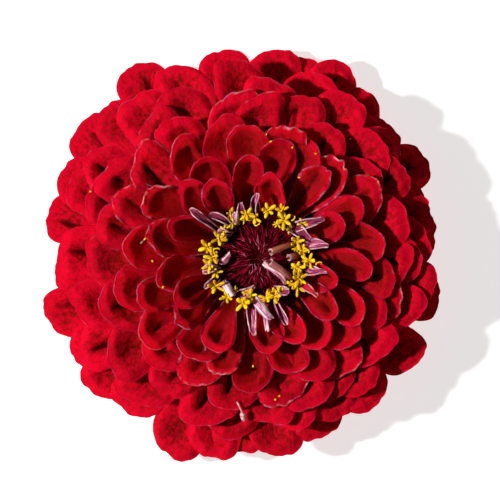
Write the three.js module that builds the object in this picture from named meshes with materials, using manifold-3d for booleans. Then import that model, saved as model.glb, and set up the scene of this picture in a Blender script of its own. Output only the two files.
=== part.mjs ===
// A double common zinnia, Zinnia elegans, picked just under the head and set down face up.
// Millimetres, +Z up. The origin is on the surface that the head rests on, under the middle of its outline.
// +X and +Y run to the right and to the top of the flower as it is looked at from above. The lower petals
// reach further on one side, where they lie on the surface, and stand higher on the other. So the
// flower's own axis stands a little beside the origin.
//
// From the bottom up: the cut stalk, the calyx of green bracts, the red ray petals on their receptacle,
// the ring of yellow disc florets with the pale young rays among them, and the dark chaff in the eye.

import * as THREE from "three";
import { mergeVertices } from "three/addons/utils/BufferGeometryUtils.js";
import Module from "manifold-3d";

const wasm = await Module();
wasm.setup();

const FLOWER_AXIS = [4.9, -1.23]; // where the flower's axis stands on the surface
const GAP = 0.3; // between two pieces that seat on each other
const GOLDEN_ANGLE = Math.PI * (3 - Math.sqrt(5)); // from one petal, or one chaff scale, to the next
const UP = new THREE.Vector3(0, 0, 1);

// The stalk and the calyx
const STALK_RADIUS = 3.2;
const STALK_NECK_RADIUS = 4.2; // the stalk swells just under the head
const STALK_TOP = 4.5;
const CALYX_BOTTOM = STALK_TOP + GAP;
const CALYX_TOP = 15.0;
const CALYX_RADIUS = 10.6;
const BRACT_ROWS = [
  // how many, height of the foot, height of the tip, width, how far the tip stands off the cup
  { count: 7, foot: 5.4, tip: 9.8, width: 6.2, stand: 1.2 },
  { count: 9, foot: 7.4, tip: 12.4, width: 6.4, stand: 1.3 },
  { count: 10, foot: 9.8, tip: 14.8, width: 6.4, stand: 1.4 },
];
const BRACT_THICKNESS = 0.7;

// The receptacle, which carries the petals and the disc
const CORE_BOTTOM = CALYX_TOP + GAP;
const CORE_TOP = 31.5;
const CORE_FOOT_RADIUS = 9.6;
const CORE_HEAD_RADIUS = 11.6;

// The ray petals. The lowest ones make the outline: azimuth in degrees and reach
const SKIRT = [
  [9, 50.3], [20, 49.8], [30, 54.6], [45.5, 52.6], [55, 56.6], [67, 60.2], [78, 58.4], [86, 59.6],
  [99, 60.2], [113, 60.0], [124, 65.6], [135, 61.8], [145, 63.8], [157, 61.6], [168, 61.8], [183, 58.2],
  [196, 63.0], [208, 59.6], [218, 61.4], [228, 57.6], [246.5, 61.4], [256, 57.9], [265, 55.4], [277, 55.6],
  [290, 53.6], [308.5, 52.8], [325.5, 53.4], [347.5, 51.8],
];
const SKIRT_TIP = -2.4; // where the tips would come without the surface, every second one raised
const SKIRT_RAISE = 2.6;
const SKIRT_STAND = 25; // how much higher they stand on the side away from the lean
const SKIRT_ROOT = 16.6;
const SKIRT_ROOT_RAISE = 0.9;
const SKIRT_PITCH = { root: -4, rootAway: 14, rootRaised: 3, tip: -4, tipAway: 16 }; // degrees
const SKIRT_CUP = 0.3;
// The others follow one another up the receptacle by the golden angle, up to the innermost.
const SPIRAL = 96;
const SPIRAL_START = 0.35; // radians
const REACH_OUTER = 54.5; // how far the tips stand from the axis
const REACH_INNER = 21.5;
const REACH_EXPONENT = 1.8; // 2 would give every petal the same share of the flower's face
const LEAN_SIDE = (150 * Math.PI) / 180; // the lower petals reach further on this side
const LEAN_SHARE = 0.08;
const DOME_TOP = 42.3;
const DOME_RADIUS = 57.5;
const DOME_EXPONENT = 0.3;
const RIM_SAG = 12; // how far the dome sinks towards the lowest petals
const FAR_TOP = 41; // opposite the lean the tips fall evenly from this height outwards
const FAR_SLOPE = 0.38;
const FAR_POWER = 1.3; // how late the dome turns into that slope on the way round
const FAR_CALM = 0.4; // of the stray of the petals' pitch is left there
const LOWEST_ROOT = 18;
const HIGHEST_ROOT = 23.2;
const ROOT_SUNK = 1.2;
const TURNED_LENGTH = 8; // of each petal that a stray of its pitch turns up or down
const ROOT_PITCH = { outer: 14, inner: 48 }; // degrees that a petal leaves the receptacle with
const TIP_PITCH = { outer: 8, middle: 18, inner: 66 }; // and ends on
const PITCH_STRAY = { outer: 6, middle: 19, inner: 11 };
const REACH_STRAY = { outer: 1.5, inner: 2.2 };
const CUP = { outer: 0.4, inner: 3.2 }; // how far the margins rise over the middle
const HOLLOW = { outer: 1.6, inner: 0.4 }; // depth of the hollow in the broad part
const RIM_DROP = { outer: 1.4, inner: 0.8 }; // how far the very margin bends down again
const ROLL = { outer: 8, inner: 11 }; // degrees of twist to either side
const SWAY = 2.2; // how far a tip bends to either side
const PETAL_THICKNESS = 0.65;
const CLAW_HALF_WIDTH = 1; // the narrow foot of each petal
const WIDTH_OUTER = 15.2;
const WIDTH_INNER = 8.6;
const WIDEST_AT = 0.76; // along the petal
const BOW = 0.95; // how far a petal's margin falls back from its tip, in half widths
const BLUNT = 2.5; // 2 would make the tip an arc of an ellipse
const RIM_BAND = 2.4; // of a petal's margin that bends down
const TABLE_CLEARANCE = 0.4; // of a petal's middle layer, where it lies along the surface
const TABLE_EASE = 2.5; // height in which a drooping petal bends flat

// The disc
const DISC_BOTTOM = CORE_TOP + GAP;
const RING_INNER_RADIUS = 9.2;
const RING_OUTER_RADIUS = 13.0;
const RING_TOP = 34.0;
const EYE_RADIUS = RING_INNER_RADIUS - GAP;
const EYE_TOP = 34.2;
const CHAFF_SCALES = 40;
const CHAFF_HALF_WIDTH = 0.42;
const CHAFF_LENGTH = 3.4;
const FLORET_TUBE_RADIUS = 0.7;
const FLORET_FOOT = RING_TOP - 0.8;
const FLORET_REACH = 2.7; // of a star's lobes
const FLORET_NOTCH = 0.85; // of the notches between them
const FOOT_RADIUS = 12.3; // of the florets that lean outwards, so that they stand on the ring
const FLORET_LOBE_RISE = 0.7;
const FLORET_THICKNESS = 0.65;
const FLORET_LOBES = 5;
// Azimuth in degrees, distance from the axis and height of the open disc florets, and their size
const FLORETS = [
  [94, 10.7, 37.0, 0.9], [104, 11.9, 37.6, 0.9], [77, 13.1, 37.4, 1], [62, 14.5, 37.3, 0.9],
  [53.5, 12.4, 38.4, 1.05], [37, 15.4, 37.6, 0.7], [22, 11.6, 37.9, 1], [8, 12.6, 37.3, 0.8],
  [-4, 14.2, 38.2, 1], [-15, 11.5, 37.6, 1], [-27, 12.9, 38.3, 1.05], [-37, 13.8, 37.5, 0.9],
  [-57, 11.1, 37.4, 0.9], [-66, 11.6, 38.1, 1], [-77, 11.5, 37.3, 0.85], [-100, 10.6, 37.2, 0.9],
  [-107, 13.1, 38.2, 1.1], [-127, 13.7, 37.4, 0.8], [-145, 13.8, 38.0, 1.05], [-160, 12.2, 37.2, 0.8],
  [-170, 13.2, 37.9, 0.95], [180, 12.2, 38.5, 1], [169, 13.8, 37.7, 1], [154.5, 11.6, 37.9, 1],
  [139, 11.8, 37.2, 0.7], [122, 13.6, 37.5, 0.8],
];
// The pale young rays, which are still rolled or half open: azimuth in degrees and distance from the axis
// of the foot, the same of the tip, the height of the tip, and the width
const YOUNG_RAYS = [
  [90, 12.2, 90, 17.5, 39.0, 2.0], [106, 12.4, 107, 15.6, 38.4, 2.4], [117.5, 11.0, 115, 14.0, 38.0, 2.2],
  [146, 12.4, 144, 22.6, 40.6, 2.2], [133.5, 10.4, 136, 17.6, 38.8, 2.2], [140, 10.2, 146, 13.0, 38.8, 1.9],
  [17, 10.6, 22, 4.2, 37.9, 2.3], [-32, 10.6, -18, 3.2, 38.3, 2.3], [-43, 10.3, -50, 2.2, 37.4, 1.9],
  [41, 12.2, 17, 14.6, 38.6, 3.4], [37, 12.4, 29, 21.0, 39.6, 2.6], [16, 12.6, 10, 19.8, 38.8, 3.2],
  [2, 10.6, 1, 6.6, 37.6, 2.4], [-12.6, 12.5, -11.6, 19.6, 39.3, 2.6], [-57, 10.3, -45, 12.4, 39.2, 2.6],
  [-30, 12.5, -32, 19.6, 39.2, 2.2], [-140, 11.2, -121, 12.5, 38.8, 2.4], [-116, 10.3, -94, 8.2, 38.0, 2.2],
  [-160, 12.0, -166, 15.4, 38.4, 2.6], [-153, 12.2, -151, 16.8, 38.2, 1.9], [-91, 11.1, -78, 17.6, 39.4, 2.9],
  [-98, 12.4, -92, 21.4, 39.4, 2.6], [-62, 12.2, -66, 20.2, 39.4, 1.9], [-84, 12.5, -82, 20.6, 38.0, 1.8],
  [-176, 10.3, 172, 7.2, 37.6, 1.9],
];
const YOUNG_RAY_THICKNESS = 0.65;

// A repeatable draw from -1 to 1: the same petal and purpose always give the same number.
function draw(index, purpose) {
  const wave = Math.sin(index * 12.9898 + purpose * 78.233) * 43758.5453;
  return 2 * (wave - Math.floor(wave)) - 1;
}

function ease(from, to, x) {
  const share = Math.min(1, Math.max(0, (x - from) / (to - from)));
  return share * share * (3 - 2 * share);
}

function mix(a, b, share) {
  return a + (b - a) * share;
}

function radians(degrees) {
  return (degrees * Math.PI) / 180;
}

// A three.js geometry as a solid that can be joined and cut.
function solid(geometry) {
  const bare = new THREE.BufferGeometry();
  bare.setAttribute("position", geometry.getAttribute("position"));
  if (geometry.index) bare.setIndex(geometry.index);
  const merged = mergeVertices(bare, 1e-4);
  const mesh = new wasm.Mesh({
    numProp: 3,
    vertProperties: new Float32Array(merged.attributes.position.array),
    triVerts: new Uint32Array(merged.index.array),
  });
  return new wasm.Manifold(mesh);
}

// Joins solids into one body. What is sealed inside it is filled and loose scraps are dropped.
function fuse(solids) {
  const bodies = wasm.Manifold.union(solids).decompose();
  return bodies.reduce((largest, body) => (body.volume() > largest.volume() ? body : largest));
}

function geometryOf(body) {
  const mesh = body.getMesh();
  const positions = new Float32Array(mesh.numVert * 3);
  for (let i = 0; i < mesh.numVert; i += 1) {
    const start = i * mesh.numProp;
    positions.set(mesh.vertProperties.subarray(start, start + 3), i * 3);
  }
  const geometry = new THREE.BufferGeometry();
  geometry.setAttribute("position", new THREE.BufferAttribute(positions, 3));
  geometry.setIndex(new THREE.BufferAttribute(new Uint32Array(mesh.triVerts), 1));
  geometry.computeVertexNormals();
  return geometry;
}

// A body of revolution about +Z from [radius, height] pairs that run up its outside.
function turned(profile, sides) {
  const points = profile.map(([radius, height]) => new THREE.Vector2(radius, height));
  return new THREE.LatheGeometry(points, sides).rotateX(Math.PI / 2);
}

// The unit normal of surface(place, side), by differences.
function normalOf(surface, place, side) {
  const step = 0.02;
  const onward = surface(place + step, side).sub(surface(place - step, side));
  const sideways = surface(place, side + step).sub(surface(place, side - step));
  return onward.cross(sideways).normalize();
}

// How far a margin falls back behind the middle of a tip, as a share of the bow.
function fallBack(side) {
  return 1 - Math.max(0, 1 - Math.abs(side) ** BLUNT) ** (1 / BLUNT);
}

// A closed blade of even thickness over surface(place, side). Each row gives how far it is along the
// blade, from 0 to 1, and its points across, from -1 to 1. The rows bow forward in the middle, by that
// share of the length, which rounds the tip. Both faces are split the same way.
function blade(surface, rows, thickness, bow) {
  const vertices = [];
  const triangles = [];
  const ids = rows.map((row) =>
    row.across.map((across) => {
      const angle = (across * Math.PI) / 2;
      const side = Math.sin(angle);
      const place = row.along * (1 - bow * fallBack(side));
      const middle = surface(place, side);
      const offset = normalOf(surface, place, side).multiplyScalar(thickness / 2);
      vertices.push(middle.clone().add(offset), middle.clone().sub(offset));
      return { across, top: vertices.length - 2, bottom: vertices.length - 1 };
    }),
  );
  const face = (a, b, c) => {
    triangles.push(a.top, b.top, c.top);
    triangles.push(c.bottom, b.bottom, a.bottom);
  };
  for (let r = 0; r + 1 < ids.length; r += 1) {
    const [lower, upper] = [ids[r], ids[r + 1]];
    let i = 0;
    let j = 0;
    while (i + 1 < lower.length || j + 1 < upper.length) {
      const nextLower = i + 1 < lower.length ? lower[i + 1].across : Infinity;
      const nextUpper = j + 1 < upper.length ? upper[j + 1].across : Infinity;
      if (nextLower <= nextUpper) {
        face(lower[i], upper[j], lower[i + 1]);
        i += 1;
      } else {
        face(lower[i], upper[j], upper[j + 1]);
        j += 1;
      }
    }
  }
  const left = ids.map((row) => row[0]);
  const right = ids.map((row) => row[row.length - 1]);
  const rim = [
    ...left,
    ...ids[ids.length - 1].slice(1),
    ...right.slice(0, -1).reverse(),
    ...ids[0].slice(1, -1).reverse(),
  ];
  rim.forEach((from, k) => {
    const to = rim[(k + 1) % rim.length];
    triangles.push(to.top, from.top, from.bottom);
    triangles.push(to.top, from.bottom, to.bottom);
  });
  const geometry = new THREE.BufferGeometry().setFromPoints(vertices);
  geometry.setIndex(triangles);
  return geometry;
}

function coreRadius(height) {
  return mix(CORE_FOOT_RADIUS, CORE_HEAD_RADIUS, (height - CORE_BOTTOM) / (CORE_TOP - CORE_BOTTOM));
}

// A petal's midline, from its root on the receptacle to its tip, both given as distance from the axis and
// height, with the pitch that it leaves the root with and ends on, in degrees.
function petalMidline(reach, tipHeight, rootHeight, rootPitch, tipPitch) {
  const root = new THREE.Vector2(coreRadius(rootHeight) - ROOT_SUNK, rootHeight);
  const tip = new THREE.Vector2(reach, tipHeight);
  const handle = 0.36 * root.distanceTo(tip);
  const towards = (degrees) => new THREE.Vector2(Math.cos(radians(degrees)), Math.sin(radians(degrees)));
  const leaving = root.clone().addScaledVector(towards(rootPitch), handle);
  const arriving = tip.clone().addScaledVector(towards(tipPitch), -handle);
  return new THREE.CubicBezierCurve(root, leaving, arriving, tip);
}

// One of the lowest petals.
function skirtPlan([degrees, reach], index) {
  const raised = index % 2;
  const away = 0.5 - 0.5 * Math.cos(radians(degrees) - LEAN_SIDE);
  const tip = SKIRT_TIP + SKIRT_RAISE * raised + SKIRT_STAND * away;
  const root = SKIRT_ROOT + SKIRT_ROOT_RAISE * raised;
  const rootPitch = SKIRT_PITCH.root + SKIRT_PITCH.rootRaised * raised + SKIRT_PITCH.rootAway * away;
  return {
    azimuth: radians(degrees),
    midline: petalMidline(reach, tip, root, rootPitch, SKIRT_PITCH.tip + SKIRT_PITCH.tipAway * away),
    halfWidth: (WIDTH_OUTER / 2) * (1 + 0.08 * draw(index, 5)),
    cup: SKIRT_CUP,
    hollow: HOLLOW.outer,
    rimDrop: RIM_DROP.outer,
    roll: radians(0.6 * ROLL.outer * draw(index, 6)),
    sway: 0.5 * SWAY * draw(index, 7),
  };
}

// The petal of that index in the spiral, 0 for the lowest. Its tip lies near a dome, its pitch strays from
// that of its neighbours, and the stray carries the tip up or down.
function spiralPlan(index) {
  const share = index / (SPIRAL - 1);
  const azimuth = SPIRAL_START + index * GOLDEN_ANGLE + 0.08 * draw(index, 1);
  const powers = mix(REACH_OUTER ** REACH_EXPONENT, REACH_INNER ** REACH_EXPONENT, share);
  const evenReach = powers ** (1 / REACH_EXPONENT);
  const lean = Math.cos(azimuth - LEAN_SIDE);
  const away = 0.5 - 0.5 * lean;
  const sag = RIM_SAG * (1 - ease(0, 0.22, share));
  const nearSide = DOME_TOP * (1 - (evenReach / DOME_RADIUS) ** 2) ** DOME_EXPONENT - sag;
  const farSide = FAR_TOP - FAR_SLOPE * (evenReach - REACH_INNER);
  const dome = mix(nearSide, farSide, away ** FAR_POWER);
  const outerPitch = mix(TIP_PITCH.outer, TIP_PITCH.middle, ease(0, 0.4, share));
  const pitch = mix(outerPitch, TIP_PITCH.inner, ease(0.3, 0.95, share));
  const outerStray = mix(PITCH_STRAY.outer, PITCH_STRAY.middle, ease(0, 0.45, share));
  const stray = mix(outerStray, PITCH_STRAY.inner, ease(0.6, 1, share)) * draw(index, 4);
  const tipPitch = pitch + stray * mix(1, FAR_CALM, away);
  const turnedOut = TURNED_LENGTH * (Math.cos(radians(tipPitch)) - Math.cos(radians(pitch)));
  const turnedUp = TURNED_LENGTH * (Math.sin(radians(tipPitch)) - Math.sin(radians(pitch)));
  const strayReach = mix(REACH_STRAY.outer, REACH_STRAY.inner, share) * draw(index, 2);
  const reach = evenReach * (1 + LEAN_SHARE * (1 - share) * lean) + strayReach + turnedOut;
  const tip = dome + 0.5 * draw(index, 3) + turnedUp;
  const root = mix(LOWEST_ROOT, HIGHEST_ROOT, share ** 0.9);
  const rootPitch = mix(ROOT_PITCH.outer, ROOT_PITCH.inner, ease(0.2, 0.9, share));
  return {
    azimuth,
    midline: petalMidline(reach, tip, root, rootPitch, tipPitch),
    halfWidth: (mix(WIDTH_OUTER, WIDTH_INNER, ease(0.35, 1, share)) / 2) * (1 + 0.1 * draw(index, 5)),
    cup: mix(CUP.outer, CUP.inner, ease(0.35, 0.9, share)) * (1 + 0.4 * draw(index, 8)),
    hollow: mix(HOLLOW.outer, HOLLOW.inner, ease(0.3, 0.9, share)),
    rimDrop: mix(RIM_DROP.outer, RIM_DROP.inner, ease(0.3, 0.85, share)),
    roll: radians(mix(ROLL.outer, ROLL.inner, share) * draw(index, 6)),
    sway: SWAY * draw(index, 7),
  };
}

// The height itself where it is well above zero, 0 where it is well below, and a smooth bend between.
function easedAboveZero(height) {
  if (height > TABLE_EASE) return height;
  return Math.max(0, height + TABLE_EASE) ** 2 / (4 * TABLE_EASE);
}

// The middle layer of a petal: place runs from its root, 0, to its tip, 1, and side from edge to edge. The
// petal is cupped across, sinks to a shallow hollow in its broad part and drops a little at its margin.
function petalSurface(plan) {
  const length = plan.midline.getLength();
  return (place, side) => {
    const onLine = Math.min(1, Math.max(0, place));
    const middle = plan.midline.getPoint(onLine);
    const direction = plan.midline.getTangent(onLine);
    middle.addScaledVector(direction, (place - onLine) * length);
    const half = mix(CLAW_HALF_WIDTH, plan.halfWidth, ease(0.1, WIDEST_AT, place));
    const spread = half / plan.halfWidth;
    const flat = half * side;
    const alongRow = place / (1 - ((BOW * plan.halfWidth) / length) * fallBack(side));
    const margin = Math.min((1 - Math.abs(side)) * half, (1 - alongRow) * length);
    const dropped = plan.rimDrop * ease(0.3, 0.6, place) * (1 - ease(0, RIM_BAND, margin));
    const fromTip = ((1 - place) * length) / plan.halfWidth;
    const sunk = plan.hollow * Math.exp(-((side / 0.52) ** 2) - ((fromTip - 1) / 0.6) ** 2);
    const lift = plan.cup * spread * side * side - sunk - dropped;
    const sideways = flat * Math.cos(plan.roll) - lift * Math.sin(plan.roll) + plan.sway * place * place;
    const up = flat * Math.sin(plan.roll) * spread + lift * Math.cos(plan.roll);
    const radius = middle.x - direction.y * up;
    let height = middle.y + direction.x * up;
    height = TABLE_CLEARANCE + easedAboveZero(height - TABLE_CLEARANCE);
    return new THREE.Vector3(radius, sideways, height).applyAxisAngle(UP, plan.azimuth);
  };
}

const PETAL_ROWS = [
  { along: 0, across: [-1, 1] },
  { along: 0.42, across: [-1, 1] },
  { along: 0.82, across: [-1, -0.5, 0, 0.5, 1] },
  { along: 1, across: [-1, -0.5, 0, 0.5, 1] },
];

function rayPetals() {
  const core = turned(
    [
      [0, CORE_BOTTOM],
      [CORE_FOOT_RADIUS, CORE_BOTTOM],
      [CORE_HEAD_RADIUS, CORE_TOP],
      [0, CORE_TOP],
    ],
    16,
  );
  const plans = [...SKIRT.map(skirtPlan), ...Array.from({ length: SPIRAL }, (_, index) => spiralPlan(index))];
  const petals = plans.map((plan) => {
    const bow = (BOW * plan.halfWidth) / plan.midline.getLength();
    return blade(petalSurface(plan), PETAL_ROWS, PETAL_THICKNESS, bow);
  });
  return fuse([core, ...petals].map(solid));
}

// An open disc floret: a star of five rising lobes on a short tube, which leans out where the star stands
// beyond the ring.
function floretStar([degrees, radius, height, size], index) {
  const points = 2 * FLORET_LOBES;
  const top = [];
  for (let k = 0; k < points; k += 1) {
    const angle = (2 * Math.PI * k) / points + draw(index, 21);
    const isLobe = k % 2 === 0;
    const reach = isLobe ? FLORET_REACH * size * (1 + 0.12 * draw(index * points + k, 22)) : FLORET_NOTCH;
    const rise = isLobe ? FLORET_LOBE_RISE : 0;
    top.push(new THREE.Vector3(reach * Math.cos(angle), reach * Math.sin(angle), rise));
  }
  const down = new THREE.Vector3(0, 0, -FLORET_THICKNESS);
  const star = new THREE.BufferGeometry().setFromPoints([...top, ...top.map((p) => p.clone().add(down))]);
  const triangles = [];
  const face = (a, b, c) => triangles.push(a, b, c, points + a, points + c, points + b);
  for (let k = 0; k < points; k += 2) face(k, k + 1, (k + points - 1) % points);
  for (let k = 3; k + 2 < points; k += 2) face(1, k, k + 2);
  for (let k = 0; k < points; k += 1) {
    const next = (k + 1) % points;
    triangles.push(k, points + k, points + next, k, points + next, next);
  }
  star.setIndex(triangles);
  const tubeHeight = height - FLORET_THICKNESS / 2 - FLORET_FOOT;
  const tube = new THREE.CylinderGeometry(FLORET_TUBE_RADIUS, FLORET_TUBE_RADIUS, tubeHeight, 3);
  tube.rotateX(Math.PI / 2).translate(0, 0, tubeHeight / 2);
  const out = Math.max(0, radius - FOOT_RADIUS) / tubeHeight;
  tube.applyMatrix4(new THREE.Matrix4().makeShear(0, 0, 0, 0, out, 0));
  tube.translate(radius - out * tubeHeight, 0, FLORET_FOOT);
  star.translate(radius, 0, height);
  return [star, tube].map((g) => g.rotateZ(radians(degrees)));
}

// A young ray, still rolled lengthwise: a narrow trough that rises out of the ring and leans over.
function youngRay([degrees, radius, tipDegrees, tipRadius, tipHeight, width]) {
  const foot = new THREE.Vector3(radius, 0, 0).applyAxisAngle(UP, radians(degrees));
  const outward = new THREE.Vector3(tipRadius, 0, 0).applyAxisAngle(UP, radians(tipDegrees)).sub(foot);
  const length = outward.length();
  outward.normalize();
  const sideways = new THREE.Vector3(-outward.y, outward.x, 0);
  const footHeight = RING_TOP - 0.7;
  const neck = 2.4; // it first stands up out of the ring
  const line = new THREE.CubicBezierCurve(
    new THREE.Vector2(0, footHeight),
    new THREE.Vector2(0.05 * length, footHeight + neck),
    new THREE.Vector2(0.45 * length, mix(footHeight, tipHeight, 0.9)),
    new THREE.Vector2(length, tipHeight),
  );
  const surface = (place, side) => {
    const onLine = Math.min(1, Math.max(0, place));
    const at = line.getPoint(onLine);
    const direction = line.getTangent(onLine);
    at.addScaledVector(direction, (place - onLine) * length);
    const half = (width / 2) * (0.45 + 0.55 * Math.sin(Math.PI * Math.min(0.86, onLine)));
    const fold = 0.55 * half * Math.abs(side);
    return foot
      .clone()
      .addScaledVector(outward, at.x - direction.y * fold)
      .addScaledVector(sideways, half * side)
      .add(new THREE.Vector3(0, 0, at.y + direction.x * fold));
  };
  const rows = [
    { along: 0, across: [-1, 1] },
    { along: 0.5, across: [-1, 1] },
    { along: 1, across: [-1, 0, 1] },
  ];
  return blade(surface, rows, YOUNG_RAY_THICKNESS, Math.min(0.3, width / 3 / length));
}

function discFlorets() {
  const ring = turned(
    [
      [RING_INNER_RADIUS, DISC_BOTTOM],
      [CORE_HEAD_RADIUS, DISC_BOTTOM],
      [RING_OUTER_RADIUS, RING_TOP],
      [RING_INNER_RADIUS, RING_TOP],
      [RING_INNER_RADIUS, DISC_BOTTOM],
    ],
    20,
  );
  const stars = FLORETS.flatMap(floretStar);
  const rays = YOUNG_RAYS.map(youngRay);
  return fuse([ring, ...stars, ...rays].map(solid));
}

// Height of the eye's cushion, which dips to a small pit in the middle.
function eyeHeight(radius) {
  const share = radius / EYE_RADIUS;
  return EYE_TOP - 1.0 * (1 - ease(0, 0.45, share)) - 1.1 * ease(0.6, 1, share);
}

// A chaff scale is a slim three-sided spike that leans in over the eye.
function chaffScale(index) {
  const azimuth = index * GOLDEN_ANGLE + 0.1 * draw(index, 31);
  const radius = 1.2 + (EYE_RADIUS - 2.0) * Math.sqrt((index + 0.5) / CHAFF_SCALES);
  const height = eyeHeight(radius);
  const lean = mix(0.35, 0.62, radius / EYE_RADIUS) * CHAFF_LENGTH;
  const spike = new THREE.ConeGeometry(CHAFF_HALF_WIDTH * 1.15, 1, 3);
  spike.translate(0, 0.5, 0).rotateX(Math.PI / 2);
  const rise = CHAFF_LENGTH * (0.72 + 0.12 * draw(index, 32));
  const shear = new THREE.Matrix4().set(1, 0, -lean, radius, 0, 1, 0, 0, 0, 0, rise, height - 0.9, 0, 0, 0, 1);
  return spike.applyMatrix4(shear).rotateZ(azimuth);
}

function chaffEye() {
  const stops = [EYE_RADIUS, 7.2, 5.6, 3.6, 1.8];
  const cushion = [...stops, 0].map((r) => [r, eyeHeight(r)]);
  const pieces = [solid(turned([[0, DISC_BOTTOM], [EYE_RADIUS, DISC_BOTTOM], ...cushion], 24))];
  for (let index = 0; index < CHAFF_SCALES; index += 1) pieces.push(solid(chaffScale(index)));
  return fuse(pieces);
}

// The green cup under the petals, from its foot on the stalk to the edge of the receptacle.
function cupRadius(height) {
  return mix(STALK_NECK_RADIUS, CALYX_RADIUS, ease(CALYX_BOTTOM - 2.5, 12.5, height));
}

// A bract is a blunt green scale that lies on the cup and parts from it at the tip.
function bract(row, index) {
  const azimuth = (2 * Math.PI * index) / row.count + 0.06 * draw(index + row.count, 41);
  // The rows run up the cup, so side is counted from right to left to face the blade outwards.
  const surface = (place, side) => {
    const height = mix(row.foot, row.tip, place);
    const half = (row.width / 2) * mix(0.7, 1, ease(0, 0.6, place));
    const turn = (-half * side) / cupRadius(height);
    const stand = mix(-0.2, row.stand, ease(0, 1, place));
    const radius = cupRadius(Math.min(height, CALYX_TOP)) + stand;
    const point = new THREE.Vector3(radius * Math.cos(turn), radius * Math.sin(turn), height);
    return point.applyAxisAngle(UP, azimuth);
  };
  const rows = [
    { along: 0, across: [-1, 1] },
    { along: 1, across: [-1, 0, 1] },
  ];
  return blade(surface, rows, BRACT_THICKNESS, 0.42);
}

function calyx() {
  const heights = [CALYX_BOTTOM, 10, CALYX_TOP];
  const cup = turned([[0, CALYX_BOTTOM], ...heights.map((z) => [cupRadius(z), z]), [0, CALYX_TOP]], 14);
  const bracts = BRACT_ROWS.flatMap((row) => Array.from({ length: row.count }, (_, k) => bract(row, k)));
  return fuse([cup, ...bracts].map(solid));
}

// The stalk has low ribs and is cut square.
function stalk() {
  const ribs = 9;
  const section = new THREE.Shape();
  for (let k = 0; k < 2 * ribs; k += 1) {
    const angle = (Math.PI * k) / ribs;
    const radius = STALK_RADIUS * (k % 2 ? 0.93 : 1);
    const point = [radius * Math.cos(angle), radius * Math.sin(angle)];
    if (k === 0) section.moveTo(...point);
    else section.lineTo(...point);
  }
  section.closePath();
  const geometry = new THREE.ExtrudeGeometry(section, { depth: STALK_TOP, bevelEnabled: false, steps: 4 });
  const positions = geometry.getAttribute("position");
  for (let i = 0; i < positions.count; i += 1) {
    const swell = mix(1, STALK_NECK_RADIUS / STALK_RADIUS, ease(0.8, STALK_TOP, positions.getZ(i)));
    positions.setXY(i, positions.getX(i) * swell, positions.getY(i) * swell);
  }
  return solid(geometry);
}

function node(name, body, colour, roughness) {
  const material = new THREE.MeshStandardMaterial({ color: colour, roughness, metalness: 0 });
  const mesh = new THREE.Mesh(geometryOf(body), material);
  mesh.name = name;
  return mesh;
}

const zinnia = new THREE.Group();
zinnia.position.set(...FLOWER_AXIS, 0);
zinnia.add(
  node("stalk", stalk(), "#6f8a45", 0.7),
  node("calyx", calyx(), "#5c7c3a", 0.7),
  node("ray_petals", rayPetals(), "#c4081f", 0.75),
  node("disc_florets", discFlorets(), "#e8b414", 0.6),
  node("chaff_eye", chaffEye(), "#4a0714", 0.8),
);

export default zinnia;
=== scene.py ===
# %% [markdown]
# # A double zinnia, petal by petal
#
# This file dresses the solids of a picked zinnia head in Blender. The head lies face up on a table, and the
# camera looks straight down on it. From the outside in, the flower is a skirt of drooping petals, a spiral
# of petals that turn from scallops to spoons, a ring of yellow disc florets with pale young rays among
# them, and a dark eye of chaff. Below are the green calyx and the stub of the stalk.
#
# Everything that repeats is grown by Geometry Nodes from a handful of seeds: a seed is one vertex that
# carries the measures of one petal, ray, floret or scale. Sizes are real, in millimetres from the flower's
# axis and from the table, and become metres where they go into Blender.

import math
from types import SimpleNamespace

import bpy
from mathutils import Euler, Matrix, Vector
from mathutils.bvhtree import BVHTree


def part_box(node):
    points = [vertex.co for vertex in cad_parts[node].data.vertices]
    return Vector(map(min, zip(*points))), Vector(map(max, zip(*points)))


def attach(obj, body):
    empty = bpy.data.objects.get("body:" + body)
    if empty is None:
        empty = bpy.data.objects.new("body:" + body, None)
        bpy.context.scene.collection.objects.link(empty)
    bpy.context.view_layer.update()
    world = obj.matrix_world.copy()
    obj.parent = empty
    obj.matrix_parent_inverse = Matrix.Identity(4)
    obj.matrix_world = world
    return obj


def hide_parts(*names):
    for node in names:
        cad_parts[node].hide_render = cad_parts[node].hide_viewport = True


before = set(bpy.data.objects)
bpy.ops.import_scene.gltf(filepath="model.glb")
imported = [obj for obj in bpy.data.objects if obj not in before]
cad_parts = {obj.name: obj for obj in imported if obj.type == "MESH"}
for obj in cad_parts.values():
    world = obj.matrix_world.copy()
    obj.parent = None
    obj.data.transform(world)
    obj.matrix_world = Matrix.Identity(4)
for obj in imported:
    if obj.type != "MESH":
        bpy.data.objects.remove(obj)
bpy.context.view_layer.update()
MM = 0.001
eye_low, eye_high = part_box("chaff_eye")
AXIS = [(eye_low[i] + eye_high[i]) / 2 / MM for i in range(2)]  # where the flower's own axis stands
print("flower axis in mm:", [round(c, 2) for c in AXIS])

# %% [markdown]
# ## Camera and light
#
# The flower fills most of the frame and is seen from straight above, so the camera stands high over it with
# a long lens: from close up the raised middle would look too large against the rim. Daylight comes from the
# left and throws short, fairly crisp shadows to the right. One small bright area light does that. A large
# weak one beside it opens up the shade between the petals, and a dim sky keeps the far side from going black.

# %% Camera
FRAME_WIDTH = 140  # mm of the bloom across the picture
FRAME_CENTRE = (-1.96, 1.96)  # mm from the flower's axis to the middle of the picture
BLOOM_HEIGHT = 20  # mm, the height that the width is measured at
CAMERA_HEIGHT = 700
SENSOR_WIDTH = 36


def put(name, data):
    """Puts an object in the scene that shows this camera, light or mesh."""
    thing = bpy.data.objects.new(name, data)
    bpy.context.scene.collection.objects.link(thing)
    return thing


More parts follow.
